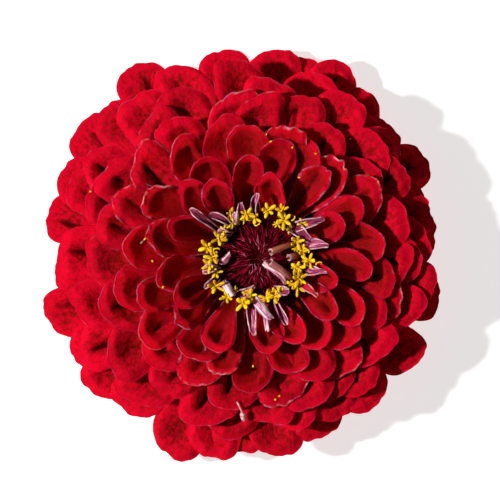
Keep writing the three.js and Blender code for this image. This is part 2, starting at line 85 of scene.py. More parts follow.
camera_data = bpy.data.cameras.new("camera")
camera_data.sensor_width = SENSOR_WIDTH
camera_data.lens = SENSOR_WIDTH * (CAMERA_HEIGHT - BLOOM_HEIGHT) / FRAME_WIDTH
camera_data.clip_start = 0.01
camera = put("camera", camera_data)
camera.location = [(AXIS[i] + FRAME_CENTRE[i]) * MM for i in range(2)] + [CAMERA_HEIGHT * MM]
bpy.context.scene.camera = camera
bpy.context.scene.view_settings.view_transform = "Standard"
print("lens in mm:", round(camera_data.lens))


# %% Lights and sky
def area_light(name, azimuth, elevation, distance, size, watts):
    """A square light that looks at the flower from that side. Angles in degrees, sizes in metres."""
    data = bpy.data.lights.new(name, "AREA")
    data.size = size
    data.energy = watts
    light = put(name, data)
    turn = Euler((0, math.radians(90 - elevation), math.radians(azimuth)))
    light.rotation_euler = turn
    light.location = turn.to_matrix() @ Vector((0, 0, distance))
    return light


sun = area_light("sun_side", azimuth=178, elevation=50, distance=1.1, size=0.06, watts=16.6)
fill = area_light("fill", azimuth=165, elevation=60, distance=1.4, size=1.0, watts=0.9)

SKY_STRENGTH = 0.06
world = bpy.data.worlds.new("sky")
world.use_nodes = True
sky = world.node_tree.nodes["Background"]
sky.inputs["Color"].default_value = (1, 1, 1, 1)
sky.inputs["Strength"].default_value = SKY_STRENGTH
bpy.context.scene.world = world
print("lights in watts:", {light.name: round(light.data.energy, 1) for light in (sun, fill)})


# %% [markdown]
# ## Small helpers
#
# `add` puts one node in a tree and wires it. `Field` lets the sockets of a tree be added and multiplied like
# numbers, so that a shape's rule can be read as a formula. `draw` gives the same small random number for the
# same petal and purpose each time, and the solids use it too.

# %% Colours and nodes
def linear(code):
    """An sRGB colour such as "#c4081f" as the linear colour that Blender's sockets hold."""
    parts = [int(code[i : i + 2], 16) / 255 for i in (1, 3, 5)]
    return [c / 12.92 if c <= 0.04045 else ((c + 0.055) / 1.055) ** 2.4 for c in parts] + [1]


def feed(tree, node, inputs):
    """Gives a node its inputs: a value is set on the socket, and a socket or a field is linked to it."""
    for name, value in inputs.items():
        if isinstance(value, Field):
            value = value.socket
        if isinstance(value, bpy.types.NodeSocket):
            tree.links.new(value, node.inputs[name])
        else:
            node.inputs[name].default_value = value


def add(tree, kind, inputs=None, **settings):
    """Adds a node with its settings and inputs."""
    node = tree.nodes.new(kind)
    for name, value in settings.items():
        setattr(node, name, value)
    feed(tree, node, inputs or {})
    return node


print("full petal red in linear light:", [round(c, 3) for c in linear("#cc0526")])


# %% Formulas in a tree
class Field:
    """A number that a tree works out at every point. Arithmetic on fields adds the math nodes for it."""

    def __init__(self, tree, socket):
        self.tree = tree
        self.socket = socket

    def math(self, operation, *others):
        node = add(self.tree, "ShaderNodeMath", dict(enumerate([self, *others])), operation=operation)
        return Field(self.tree, node.outputs[0])

    def __add__(self, other):
        return self.math("ADD", other)

    def __mul__(self, other):
        return self.math("MULTIPLY", other)

    def __sub__(self, other):
        return self.math("SUBTRACT", other)

    def __truediv__(self, other):
        return self.math("DIVIDE", other)

    def __pow__(self, other):
        return self.math("POWER", other)

    def __abs__(self):
        return self.math("ABSOLUTE")

    def __neg__(self):
        return self * -1

    def __rsub__(self, other):
        return -self + other

    def __rtruediv__(self, other):
        return self**-1 * other

    __radd__ = __add__
    __rmul__ = __mul__

    def sin(self):
        return self.math("SINE")

    def cos(self):
        return self.math("COSINE")

    def at_least(self, low):
        return self.math("MAXIMUM", low)

    def at_most(self, high):
        return self.math("MINIMUM", high)

    def between(self, low, high):
        return self.at_least(low).at_most(high)

    def ease(self, start, end):
        """0 up to start, 1 from end on, and a smooth step between them."""
        share = ((self - start) / (end - start)).between(0, 1)
        return share * share * (3 - 2 * share)

    def bump(self, centre, width):
        """1 at centre, falling off on both sides within about that width."""
        away = (self - centre) / width
        return (-(away * away)).math("EXPONENT")


print("a field can do:", [name for name in dir(Field) if not name.startswith("_")])


# %% Chance and easing in Python
def draw(index, purpose):
    """A repeatable draw from -1 to 1."""
    wave = math.sin(index * 12.9898 + purpose * 78.233) * 43758.5453
    return 2 * (wave - math.floor(wave)) - 1


def mix(a, b, share):
    return a + (b - a) * share


def ease(start, end, x):
    share = min(1, max(0, (x - start) / (end - start)))
    return share * share * (3 - 2 * share)


def graded(first, last, start, end, x):
    """The first value up to start, the last from end on, and a smooth change between them."""
    return mix(first, last, ease(start, end, x))


print("the first petal's draws:", [round(draw(0, purpose), 2) for purpose in range(1, 5)])


# %% What every finish needs
def new_material(name):
    """An empty material: its tree, and the Principled shader that the finish is built on."""
    material = bpy.data.materials.new(name)
    material.use_nodes = True
    tree = material.node_tree
    return material, tree, tree.nodes["Principled BSDF"]


def carried(tree, names):
    """The measures of those names that a mesh carries, as fields: m.length, m.width and so on."""
    fields = {}
    for name in names.split():
        if tree.bl_idname == "ShaderNodeTree":
            socket = add(tree, "ShaderNodeAttribute", attribute_name=name).outputs["Fac"]
        else:
            socket = add(tree, "GeometryNodeInputNamedAttribute", {"Name": name}).outputs["Attribute"]
        fields[name] = Field(tree, socket)
    return SimpleNamespace(**fields)


def coated(tree, ground, *coats):
    """A ground colour under coats of others. A coat is its share, from 0 to 1, and its colour."""
    colour = linear(ground)
    for share, tint in coats:
        inputs = {0: share, 6: colour, 7: linear(tint) if isinstance(tint, str) else tint}
        colour = add(tree, "ShaderNodeMix", inputs, data_type="RGBA").outputs[2]
    return colour


print("materials so far:", len(bpy.data.materials))

# %% [markdown]
# ## Petal finishes
#
# A zinnia petal is matt and velvety because its skin cells are tiny cones. They scatter light back from
# grazing angles, which a sheen on a rough surface does too, and the pigment lies so thick that the red has
# almost no green in it. Fine ribs run from claw to tip. The margin of the younger petals is a thin pink line
# that breaks off in stretches: partly the paler underside, partly a painted highlight where the rim catches
# light. On the upper side only, a painted shadow runs down the creases, painted shade darkens the hollows,
# and blotches show, darker in the hollows. The young petals in the middle are thin, so light that goes in
# comes out again some way off, and their insides are painted darker than their margins, as shade. The
# petals carry their own measures as attributes, in millimetres, so ribs and margins follow each petal's own
# length and not the room.

# %% Patterns of the petal skin
RIB_SPACING = 0.55  # mm between the fine ribs of a petal
RIB_STRETCH = 0.12  # how much slower the ribs change along the petal than across it
MOTTLE_SIZE = 1.4  # mm, patches of deeper and lighter pigment
WORN_SIZE = 3.0  # mm, the stretches of a margin that have lost their red
BLEACH_SIZE = 10 / 7  # mm, the palest spots in them
VELVET_SIZE = 0.2  # mm, drawn coarser than the real cones so that it shows
PIT_SIZE = 0.8  # mm, the puckers between the veins


def skin_patterns(tree):
    """Noises over a petal's own length and width, by name."""
    own = add(tree, "ShaderNodeAttribute", attribute_name="petal_mm").outputs["Vector"]
    stretch = (RIB_STRETCH / RIB_SPACING, 1 / RIB_SPACING, 1)
    ribbed = add(tree, "ShaderNodeMapping", {"Vector": own, "Scale": stretch}).outputs["Vector"]
    kinds = {  # where it lies, its size, and how much and how strong its finer detail is
        "ribs": (ribbed, 1, 2, 0.5),
        "mottle": (own, MOTTLE_SIZE, 4, 0.75),
        "stretches": (own, WORN_SIZE, 2, 0.5),
        "spots": (own, BLEACH_SIZE, 3, 0.5),
        "velvet": (own, VELVET_SIZE, 2, 0.5),
        "pits": (own, PIT_SIZE, 2, 0.6),
    }
    fields = {}
    for name, (place, size, detail, roughness) in kinds.items():
        inputs = {"Vector": place, "Scale": 1 / size, "Detail": detail, "Roughness": roughness}
        fields[name] = Field(tree, add(tree, "ShaderNodeTexNoise", inputs).outputs["Fac"])
    return SimpleNamespace(**fields)


print("ribs across an outer petal:", round(15 / RIB_SPACING))

# %% Petal finishes
# painted shadow down the creases of the petals, as dark as the shade in a deep fold
CREASE_SHADOW_RED = "#340304"
BLEACHED_PINK = "#c85c80"
DRIED_PINK = "#d07c90"
SHEEN_RED = "#ff1030"
RELIEF_DEPTH = 0.4  # mm between the tops of the ribs and the bottoms of the pits


def petal_colour(tree, m, skin, deep, bright, rim, marks_and_shade):
    """Coat by coat: red with painted shade, painted shadow in the creases, the pink margin and dried edges.
    """
    young = m.share.ease(0.45, 0.8)
    # rough: the mottle, stronger in the hollows; partly pigment, partly painted shade
    rough = (skin.mottle - 0.5) * (0.6 + (0.55 + m.hollowed * 1.3) * marks_and_shade) * (1 - young * 0.6)
    # inside and shade: painted shade over the insides of the young spoons, all but 1.5 mm of rim, and in the
    # hollows; the inner petals are a little darker too
    inside = young * m.margin_mm.ease(0.9, 1.5)
    shade = m.share.ease(0.4, 0.9) * 0.1 + inside * 0.52 + m.hollowed * (0.3 - young * 0.2)
    # blotches: pigment blotches, painted darker in the hollows as shade
    blotches = (1 - skin.mottle.ease(0.4, 0.58)) * m.margin_mm.ease(0.5, 2.4) * (0.28 + m.hollowed * 0.32)
    marks = rough - blotches * marks_and_shade * (1 - young * 0.8) + (skin.ribs - 0.5) * 0.6
    light = m.opening * (0.75 - shade + m.tone * 0.25 + marks)
    # fold: the painted shadow down the crease
    fold = (m.wedge * (0.9 + (skin.mottle - 0.5) * 1.2) * marks_and_shade).between(0, 0.9)
    # worn and edge: the pink line of the margin in stretches; partly the paler underside, partly a painted
    # highlight where the rim catches light
    worn = (skin.stretches + m.pink * 0.3).ease(0.6, 0.86)
    edge = (1 - m.margin_mm.ease(0.02, 0.22)) * worn * (0.4 + skin.ribs)
    dried = (1 - m.margin_mm.ease(0.05, 0.7)) * m.crumple * (m.crinkle * 1.5 + skin.mottle * 2.6 - 1.1)
    faded = coated(tree, rim, (skin.spots.ease(0.5, 0.75), BLEACHED_PINK))
    coats = [(light, bright), (fold, CREASE_SHADOW_RED), (edge.between(0, 0.9), faded), (dried, DRIED_PINK)]
    return coated(tree, deep, *coats)


def petal_finish(name, deep, bright, rim, roughness, marks_and_shade):
    """Velvet petal skin. The colours are those of the claws and of the painted shade in the hollows and
    insides, of the open blade and of the margin.

    The last number says how much the painted crease shadow, the painted shade of the hollows and the blotches
    show, from 0 to 1: they belong to the upper side.
    """
    material, tree, shader = new_material(name)
    m = carried(tree, "tone margin_mm pink share opening hollowed wedge crumple crinkle")
    skin = skin_patterns(tree)
    relief = skin.ribs * 0.45 + skin.pits + skin.velvet * 0.3
    depth = (0.6 + m.hollowed * 0.5).between(0, 1)
    bump = add(tree, "ShaderNodeBump", {"Height": relief, "Distance": RELIEF_DEPTH * MM, "Strength": depth})
    thin = m.share.ease(0.3, 0.6)
    sockets = {
        "Base Color": petal_colour(tree, m, skin, deep, bright, rim, marks_and_shade),
        "Normal": bump.outputs["Normal"],
        "Roughness": roughness,
        "Specular IOR Level": 0.01,
        "Subsurface Weight": 0.5 + thin * 0.5,
        "Subsurface Scale": (0.7 + thin * 1.6) * MM,
        "Subsurface Radius": (1, 0.3, 0.05),
        "Sheen Weight": 0.06,
        "Sheen Roughness": 0.4,
        "Sheen Tint": linear(SHEEN_RED),
    }
    feed(tree, shader, sockets)
    return material


petal_upper = petal_finish("petal_upper_velvet", "#7c0d0a", "#cc0526", "#a02c54", 0.8, 1.0)
petal_under = petal_finish("petal_underside", "#a40818", "#dc1434", "#a84068", 0.85, 0.0)
petal_rim = petal_finish("petal_cut_margin", "#8a0410", "#be0828", "#a02c54", 0.8, 0.0)
print("petal finishes:", petal_upper.name, petal_under.name, petal_rim.name)

# %% [markdown]
# ## One seed for each petal
#
# Each petal follows the same rule as its solid. Its midline is a Bezier curve in the upright plane through
# the flower's axis, from a root on the receptacle to a tip on a dome. The lowest petals are listed one by
# one, because they make the outline. The rest follow one another by the golden angle, which packs them so
# that each one covers the gap between the two below. The head leans: on the far side the tips fall in an
# even slope instead of a dome. Here the rule is written in Python, once for each petal, and its results
# become a seed's attributes.

# %% A petal's midline
CORE_BOTTOM = 15.3  # the receptacle's foot and head, heights and radii
CORE_TOP = 31.5
CORE_FOOT_RADIUS = 9.6
CORE_HEAD_RADIUS = 11.6
ROOT_SUNK = 1.2  # mm that a root goes into the receptacle
HANDLE_SHARE = 0.36  # of the petal's length, in the Bezier curve's handles


def midline(reach, tip_height, root_height, root_pitch, tip_pitch):
    """The four points of a petal's Bezier midline, as distance from the axis and height."""
    core = mix(CORE_FOOT_RADIUS, CORE_HEAD_RADIUS, (root_height - CORE_BOTTOM) / (CORE_TOP - CORE_BOTTOM))
    root = Vector((core - ROOT_SUNK, root_height))
    tip = Vector((reach, tip_height))
    handle = HANDLE_SHARE * (tip - root).length
    leave, arrive = [Vector((math.cos(p), math.sin(p))) for p in map(math.radians, (root_pitch, tip_pitch))]
    return [root, root + handle * leave, tip - handle * arrive, tip]


def curve_length(points, steps=60):
    places = []
    for step in range(steps + 1):
        t = step / steps
        q = 1 - t
        weights = (q**3, 3 * q * q * t, 3 * q * t * t, t**3)
        places.append(sum((w * p for w, p in zip(weights, points)), Vector((0, 0))))
    return sum((b - a).length for a, b in zip(places, places[1:]))


print("a level petal of 50 mm reach is", round(curve_length(midline(50, 20, 20, 10, 10)), 1), "mm long")

# %% The lowest petals
LEAN_SIDE = math.radians(150)  # the side that the head leans to
WIDTH_OUTER = 15.2
SKIRT = [  # azimuth in degrees and reach of the lowest petals
    (9, 50.3), (20, 49.8), (30, 54.6), (45.5, 52.6), (55, 56.6), (67, 60.2), (78, 58.4), (86, 59.6),
    (99, 60.2), (113, 60.0), (124, 65.6), (135, 61.8), (145, 63.8), (157, 61.6), (168, 61.8), (183, 58.2),
    (196, 63.0), (208, 59.6), (218, 61.4), (228, 57.6), (246.5, 61.4), (256, 57.9), (265, 55.4), (277, 55.6),
    (290, 53.6), (308.5, 52.8), (325.5, 53.4), (347.5, 51.8),
]  # fmt: skip
SKIRT_TIP = -2.4  # height of the tips before they bend along the table
SKIRT_RAISE = 2.6  # every second petal lies that much higher at its tip
SKIRT_STAND = 25  # and on the side away from the lean all stand up to that much higher
SKIRT_ROOT = 16.6
SKIRT_ROOT_RAISE = 0.9


def skirt_petal(place, index):
    degrees, reach = place
    raised = index % 2
    away = 0.5 - 0.5 * math.cos(math.radians(degrees) - LEAN_SIDE)
    tip = SKIRT_TIP + SKIRT_RAISE * raised + SKIRT_STAND * away
    root = SKIRT_ROOT + SKIRT_ROOT_RAISE * raised
    return {
        "number": index,
        "share": 0,
        "azimuth": math.radians(degrees),
        "line": midline(reach, tip, root, -4 + 3 * raised + 14 * away, -4 + 16 * away),
        "half_width": WIDTH_OUTER / 2 * (1 + 0.08 * draw(index, 5)),
        "cup": 0.3,
        "roll": math.radians(5 * draw(index, 6)),
        "sway": 1.2 * draw(index, 7),
    }


petals = [skirt_petal(place, index) for index, place in enumerate(SKIRT)]
print("lowest petals:", len(petals))

# %% The petals of the spiral
GOLDEN_ANGLE = math.pi * (3 - math.sqrt(5))
SPIRAL = 96
SPIRAL_START = 0.35
REACH_OUTER = 54.5
REACH_INNER = 21.5
REACH_EXPONENT = 1.8  # near 2, so that every petal gets about the same area to show
LEAN_SHARE = 0.08  # of its reach, that the lean adds to a petal or takes off it
DOME_TOP = 42.3  # the dome that the tips lie on where the head leans to
DOME_RADIUS = 57.5
DOME_EXPONENT = 0.3
RIM_SAG = 12
FAR_TOP = 41  # and the slope that they lie on at the far side
FAR_SLOPE = 0.38
FAR_POWER = 1.3
LOWEST_ROOT = 18
HIGHEST_ROOT = 23.2
PITCHES = (8, 18, 66)  # degrees that the tips of outer, middle and inner petals rise
STRAYS = (6, 19, 11)  # degrees that chance adds to them or takes off
TURNED_LENGTH = 8  # mm of each petal that a stray turns up or down
WIDTH_INNER = 8.6


def tip_height(reach, share, away):
    """The height of the dome at that reach, or of the even slope on the side away from the lean."""
    sag = RIM_SAG * (1 - ease(0, 0.22, share))
    dome = DOME_TOP * (1 - (reach / DOME_RADIUS) ** 2) ** DOME_EXPONENT - sag
    return mix(dome, FAR_TOP - FAR_SLOPE * (reach - REACH_INNER), away**FAR_POWER)


def spiral_petal(index):
    share = index / (SPIRAL - 1)
    azimuth = SPIRAL_START + index * GOLDEN_ANGLE + 0.08 * draw(index, 1)
    powers = mix(REACH_OUTER**REACH_EXPONENT, REACH_INNER**REACH_EXPONENT, share)
    even_reach = powers ** (1 / REACH_EXPONENT)
    lean = math.cos(azimuth - LEAN_SIDE)
    away = 0.5 - 0.5 * lean
    outer, middle, inner = PITCHES
    pitch = graded(graded(outer, middle, 0, 0.4, share), inner, 0.3, 0.95, share)
    outer, middle, inner = STRAYS
    widest = graded(graded(outer, middle, 0, 0.45, share), inner, 0.6, 1, share)
    before, after = pitch, pitch + widest * draw(index, 4) * mix(1, 0.4, away)
    turns = [Vector((math.cos(p), math.sin(p))) for p in map(math.radians, (before, after))]
    turned = TURNED_LENGTH * (turns[1] - turns[0])
    leant = even_reach * (1 + LEAN_SHARE * (1 - share) * lean)
    reach = leant + mix(1.5, 2.2, share) * draw(index, 2) + turned.x
    tip = tip_height(even_reach, share, away) + 0.5 * draw(index, 3) + turned.y
    root = mix(LOWEST_ROOT, HIGHEST_ROOT, share**0.9)
    return {
        "number": index + len(SKIRT),
        "share": share,
        "azimuth": azimuth,
        "line": midline(reach, tip, root, graded(14, 48, 0.2, 0.9, share), after),
        "half_width": graded(WIDTH_OUTER, WIDTH_INNER, 0.35, 1, share) / 2 * (1 + 0.1 * draw(index, 5)),
        "cup": graded(0.4, 3.2, 0.35, 0.9, share) * (1 + 0.4 * draw(index, 8)),
        "roll": math.radians(mix(8, 11, share) * draw(index, 6)),
        "sway": 2.2 * draw(index, 7),
    }


petals += [spiral_petal(index) for index in range(SPIRAL)]
print("petals in all:", len(petals))

# %% What only the fine petals have
LOOKS = {
    # the value of the outermost petals and of the innermost, the shares of the way in between which the
    # first turns into the second, its steady part and its stray part, and the number of its draw
    "tone": (1, 1, 0, 1, 0.5, 0.5, 11),  # how bright it is
    "pink": (0.7, 1, 0.25, 0.75, 0.75, 0.25, 12),  # how worn its margin is
    "hollow": (2.6, 0.5, 0.3, 0.9, 1, 0.4, 13),  # mm that its broad part is dished
    "rim_drop": (1.8, 1.3, 0.3, 0.85, 1, 0.4, 14),  # mm that its rim rolls down
    "rim_wide": (3.0, 1.7, 0.3, 0.85, 1, 0, 0),  # mm of the blade that roll
    "ripple": (0.5, 0.5, 0, 1, 0.75, 0.4, 15),  # mm that it undulates
    "crease_at": (0.25, 0.25, 0, 1, 0, 1, 16),  # where its crease runs, from -1 to 1 across it
    "crease": (2.8, 1.2, 0.4, 0.8, 0.35, 0.65, 17),  # mm that it is creased
    "skew": (0.2, 0.35, 0, 0.1, 0, 1, 18),  # how much further one side of its tip reaches
    "blunt": (0.5, 0.9, 0, 0.1, 0, 1, 19),  # how much squarer its tip is than BLUNTNESS
    "fold": (0.6, 0.9, 0.3, 0.7, 0, 1, 20),  # how much more one side rolls than the other
}
BLUNTNESS = 2.5  # 2 would be an ellipse


def finished(petal):
    """Adds the look of a petal, and its hollows, curls and ripples."""
    line = petal.pop("line")
    for name, point in zip(("root", "leave", "arrive", "tip"), line):
        petal[name + "_r"], petal[name + "_z"] = point
    petal["length"] = curve_length(line)
    petal["crumple"] = 0
    for look, (outer, inner, start, end, steady, stray, purpose) in LOOKS.items():
        typical = graded(outer, inner, start, end, petal["share"])
        petal[look] = typical * (steady + stray * draw(petal["number"], purpose))
    petal["crease"] = max(0, petal["crease"])
    petal["blunt"] += BLUNTNESS
    return petal


petals = [finished(petal) for petal in petals]
print("longest petal in mm:", round(max(petal["length"] for petal in petals), 1))

# %% Margins that have dried
CRUMPLED = [  # azimuth in degrees and distance from the axis of the margins that have dried and crinkled
    (146, 35), (168, 31), (154, 40), (137, 37), (52, 38), (24, 36), (74, 34), (60, 26), (-24, 40), (-78, 44),
    (-48, 36), (-119, 41), (-150, 29), (-104, 32), (97, 45),
]  # fmt: skip


def polar(angle, radius, height):
    return Vector((radius * math.cos(angle), radius * math.sin(angle), height))


for degrees, reach in CRUMPLED:
    spot = polar(math.radians(degrees), reach, 0)
    nearest = min(petals, key=lambda petal: (polar(petal["azimuth"], petal["tip_r"], 0) - spot).length)
    nearest["crumple"] = 0.75 + 0.25 * draw(degrees, 32)
print("petals with a dried margin:", sum(petal["crumple"] > 0 for petal in petals))

# %% [markdown]
# ## The tree that grows a petal from its seed
#
# A grid stands on every seed and is bent into a petal by a formula. Across the grid, a sine squeezes the
# columns together at the margins, and the rows bow forward in the middle, which rounds the tip. The same
# sine along the grid packs rows at the tip, so that the thin pink margin has enough mesh. On top of the
# solid's shape come what the eye looks for in a petal: a hollow in the broad part, a crease or two, a tip
# that rolls over, and a rippled margin. The petals could be modelled one by one too, but a rule lets all
# 124 be tuned at once.

# %% Seeds and the ends of a tree
def seeds(name, rows):
    """A mesh of one vertex for each row, which carries the row's numbers as attributes."""
    mesh = bpy.data.meshes.new(name)
    mesh.from_pydata([(0, 0, 0)] * len(rows), [], [])
    for key in rows[0]:
        mesh.attributes.new(key, "FLOAT", "POINT").data.foreach_set("value", [row[key] for row in rows])
    return put(name, mesh)


def new_tree(name, **sizes):
    """A geometry tree with seeds and the named sizes as its inputs. Gives it and its two end nodes."""
    tree = bpy.data.node_groups.new(name, "GeometryNodeTree")
    tree.interface.new_socket("Seeds", in_out="INPUT", socket_type="NodeSocketGeometry")
    for key, value in sizes.items():
        kind = "NodeSocketInt" if isinstance(value, int) else "NodeSocketFloat"
        socket = tree.interface.new_socket(key.replace("_", " "), in_out="INPUT", socket_type=kind)
        socket.default_value = value
    tree.interface.new_socket("Finish", in_out="INPUT", socket_type="NodeSocketMaterial")
    tree.interface.new_socket("Geometry", in_out="OUTPUT", socket_type="NodeSocketGeometry")
    return tree, tree.nodes.new("NodeGroupInput"), tree.nodes.new("NodeGroupOutput")


def on_seeds(tree, start, shape):
    """A copy of the shape on every seed, made real. Gives the mesh and the shape's own x, y and z."""
    placed = {"Points": start.outputs["Seeds"], "Instance": shape}
    copies = add(tree, "GeometryNodeInstanceOnPoints", placed).outputs["Instances"]
    real = add(tree, "GeometryNodeRealizeInstances", {"Geometry": copies}).outputs["Geometry"]
    split = add(tree, "ShaderNodeSeparateXYZ", {0: add(tree, "GeometryNodeInputPosition").outputs[0]})
    return real, *[Field(tree, split.outputs[axis]) for axis in "XYZ"]


def grid_on_seeds(tree, start):
    """A grid on every seed. Gives the mesh and its two coordinates: -1 to 1, and 0 to 1."""
    counts = {"Vertices X": start.outputs["across"], "Vertices Y": start.outputs["along"]}
    grid = add(tree, "GeometryNodeMeshGrid", {"Size X": 2, "Size Y": 1, **counts}).outputs["Mesh"]
    mesh, column, row, _ = on_seeds(tree, start, grid)
    return mesh, column, row + 0.5


def keep(tree, mesh, **fields):
    """Stores fields on the mesh's points for the finish to read. Three in a tuple become a vector."""
    for name, value in fields.items():
        kind = "FLOAT_VECTOR" if isinstance(value, tuple) else "FLOAT"
        if isinstance(value, tuple):
            value = add(tree, "ShaderNodeCombineXYZ", dict(enumerate(value))).outputs[0]
        inputs = {"Geometry": mesh, "Name": name, "Value": value}
        mesh = add(tree, "GeometryNodeStoreNamedAttribute", inputs, data_type=kind, domain="POINT").outputs[0]
    return mesh


def finish_tree(tree, start, end, mesh, x, y, z):
    """Moves the points to x, y and z, in millimetres from the flower's axis, and gives them the finish."""
    centred = {"X": (x + AXIS[0]) * MM, "Y": (y + AXIS[1]) * MM, "Z": z * MM}
    place = add(tree, "ShaderNodeCombineXYZ", centred).outputs[0]
    moved = add(tree, "GeometryNodeSetPosition", {"Geometry": mesh, "Position": place}).outputs[0]
    smooth = add(tree, "GeometryNodeSetShadeSmooth", {"Geometry": moved}).outputs[0]
    real = add(tree, "GeometryNodeRealizeInstances", {"Geometry": smooth}).outputs[0]
    dressed = add(tree, "GeometryNodeSetMaterial", {"Geometry": real, "Material": start.outputs["Finish"]})
    tree.links.new(dressed.outputs[0], end.inputs["Geometry"])


print("numbers on a petal's seed:", ", ".join(petals[0]))


# %% Curves, waves and turns inside a tree
def bezier(line, t):
    """A point of a cubic Bezier curve and its unnormalised direction, one coordinate at a time."""
    q = 1 - t
    a, b, c, d = line
    place = q * q * q * a + 3 * q * q * t * b + 3 * q * t * t * c + t * t * t * d
    direction = q * q * (b - a) + 2 * q * t * (c - b) + t * t * (d - c)
    return place, direction


def waves(tree, x, y, pattern, length):
    """Smooth noise from about -1 to 1, in waves of that length."""
    vector = add(tree, "ShaderNodeCombineXYZ", {"X": x, "Y": y}).outputs[0]
    settings = {"Vector": vector, "W": pattern, "Scale": 1 / length, "Detail": 1}
    node = add(tree, "ShaderNodeTexNoise", settings, noise_dimensions="4D")
    return (Field(tree, node.outputs[0]) - 0.5) * 2.6


def turned_by(angle, x, y):
    """The point (x, y), turned about the origin."""
    return x * angle.cos() - y * angle.sin(), x * angle.sin() + y * angle.cos()


print("halfway along a curve, and its direction there:", bezier((0, 1, 2, 3), 0.5))


# %% The petal's outline
CLAW_HALF_WIDTH = 1.0
WIDEST_AT = 0.76  # of the way along the petal
BOW = 0.95  # how round the tip is: the margins end that share of the half width before the middle
EDGE_WAVE = 3.5  # mm, the length of the waves in the outline
EDGE_STRAY = 0.95  # mm that they reach out and in
FRAY_WAVE = 0.9  # the same two for a dried margin
FRAY_STRAY = 0.35


def petal_outline(tree, m, column, row, claw, widest_at):
    """Notes in m where each point lies on the flat petal, from the grid's columns and rows."""
    m.side = -0.5 * column - 0.5 * (column * (math.pi / 2)).sin()
    m.along = (row * (math.pi / 2)).sin()
    fall = 1 - (1 - abs(m.side) ** m.blunt).at_least(0) ** (1 / m.blunt)
    across = m.side * m.half_width
    wavy = EDGE_STRAY * waves(tree, across, 0, m.number * 5.7, EDGE_WAVE)
    frayed = FRAY_STRAY * (m.crumple * waves(tree, across, 0, m.number * 6.1, FRAY_WAVE))
    reach_shift = (m.skew * across + wavy + frayed) * m.along * m.along
    m.place = m.along * (1 - BOW * m.half_width / m.length * fall) + reach_shift / m.length
    m.half = claw + (m.half_width - claw) * m.place.ease(0.1, widest_at)
    m.margin = ((1 - abs(m.side)) * m.half).at_most((1 - m.along) * m.length)
    m.long_mm, m.wide_mm = m.place * m.length, m.half * m.side


print("an outer petal is", WIDTH_OUTER, "mm wide, at", WIDEST_AT, "of its length")


# %% The petal's relief
BROAD_WAVE = 6.0  # mm, the length of a petal's slow undulations
FINE_WAVE = 2.2  # mm, the length of the ripples of its margin
TIGHT_WAVE = 1.1  # mm, the length of the crinkles of a dried margin


def petal_relief(tree, m):
    """How far each point stands off the flat blade. What of that the finish has to know is noted in m."""
    slow = waves(tree, m.long_mm, m.wide_mm, m.number * 7.3, BROAD_WAVE)
    fine = waves(tree, m.long_mm, m.wide_mm, m.number * 3.1 + 50, FINE_WAVE)
    tight = waves(tree, m.long_mm, m.wide_mm, m.number * 5.9 + 9, TIGHT_WAVE)
    near_margin = 1 - m.margin.ease(0.2, 2.2)
    m.crinkle = near_margin * fine + tight * 0.6
    m.broad = m.place.ease(0.3, 0.6)

    from_tip = (1 - m.place) * m.length / m.half_width  # in half widths of the petal
    m.dip = m.side.bump(0, 0.52) * from_tip.bump(1.0, 0.6)
    slit = m.side.bump(m.crease_at + 0.15 * (from_tip - 1), 0.07 + 0.08 * from_tip)
    slit = slit * from_tip.ease(0.25, 0.75) * (1 - from_tip.ease(1.4, 2.4))
    # the line down the crease that the finish paints dark as shadow
    m.wedge = slit.ease(0.35, 0.6) * (m.crease / 2).at_most(1)

    one_sided = 1 + m.fold * m.side
    rolled = 1 - (m.margin / (m.rim_wide * one_sided)).ease(0, 1)
    lift = m.cup * (m.half / m.half_width) * m.side * m.side - m.hollow * m.dip - m.crease * slit
    lift = lift - m.rim_drop * one_sided * m.broad * rolled
    lift = lift + m.broad * (m.ripple * slow + (m.ripple * 0.8 + m.crumple) * near_margin * fine)
    return lift + m.crumple * m.broad * (1 - m.margin.ease(0.1, 1.6)) * tight


print("waves on a petal in mm:", BROAD_WAVE, FINE_WAVE, TIGHT_WAVE)


# %% The petal's place in the flower
TABLE_CLEARANCE = 0.3  # mm that the lowest petals stay off the table
TABLE_EASE = 2.5  # mm above the table at which a drooping petal begins to bend along it


def above_table(height):
    """The height, eased so that what would go through the table bends along it instead."""
    height = height - TABLE_CLEARANCE
    bent = (height + TABLE_EASE).at_least(0)
    free = height.math("GREATER_THAN", TABLE_EASE)
    return free * height + (1 - free) * bent * bent / (4 * TABLE_EASE) + TABLE_CLEARANCE


def petal_place(tree, m, lift):
    """Lays the blade along its midline, rolled about it, and turns it to its side of the flower."""
    t = m.place.between(0, 1)
    line = [carried(tree, f"root_{c} leave_{c} arrive_{c} tip_{c}") for c in "rz"]
    (line_r, run_r), (line_z, run_z) = [bezier(vars(part).values(), t) for part in line]
    run = (run_r * run_r + run_z * run_z) ** 0.5
    run_r, run_z = run_r / run, run_z / run
    beyond = (m.place - t) * m.length
    sideways = m.wide_mm * m.roll.cos() - lift * m.roll.sin() + m.sway * m.place * m.place
    up = m.wide_mm * m.roll.sin() * (m.half / m.half_width) + lift * m.roll.cos()
    x, y = turned_by(m.azimuth, line_r + run_r * beyond - run_z * up, sideways)
    return x, y, above_table(line_z + run_z * beyond + run_r * up)


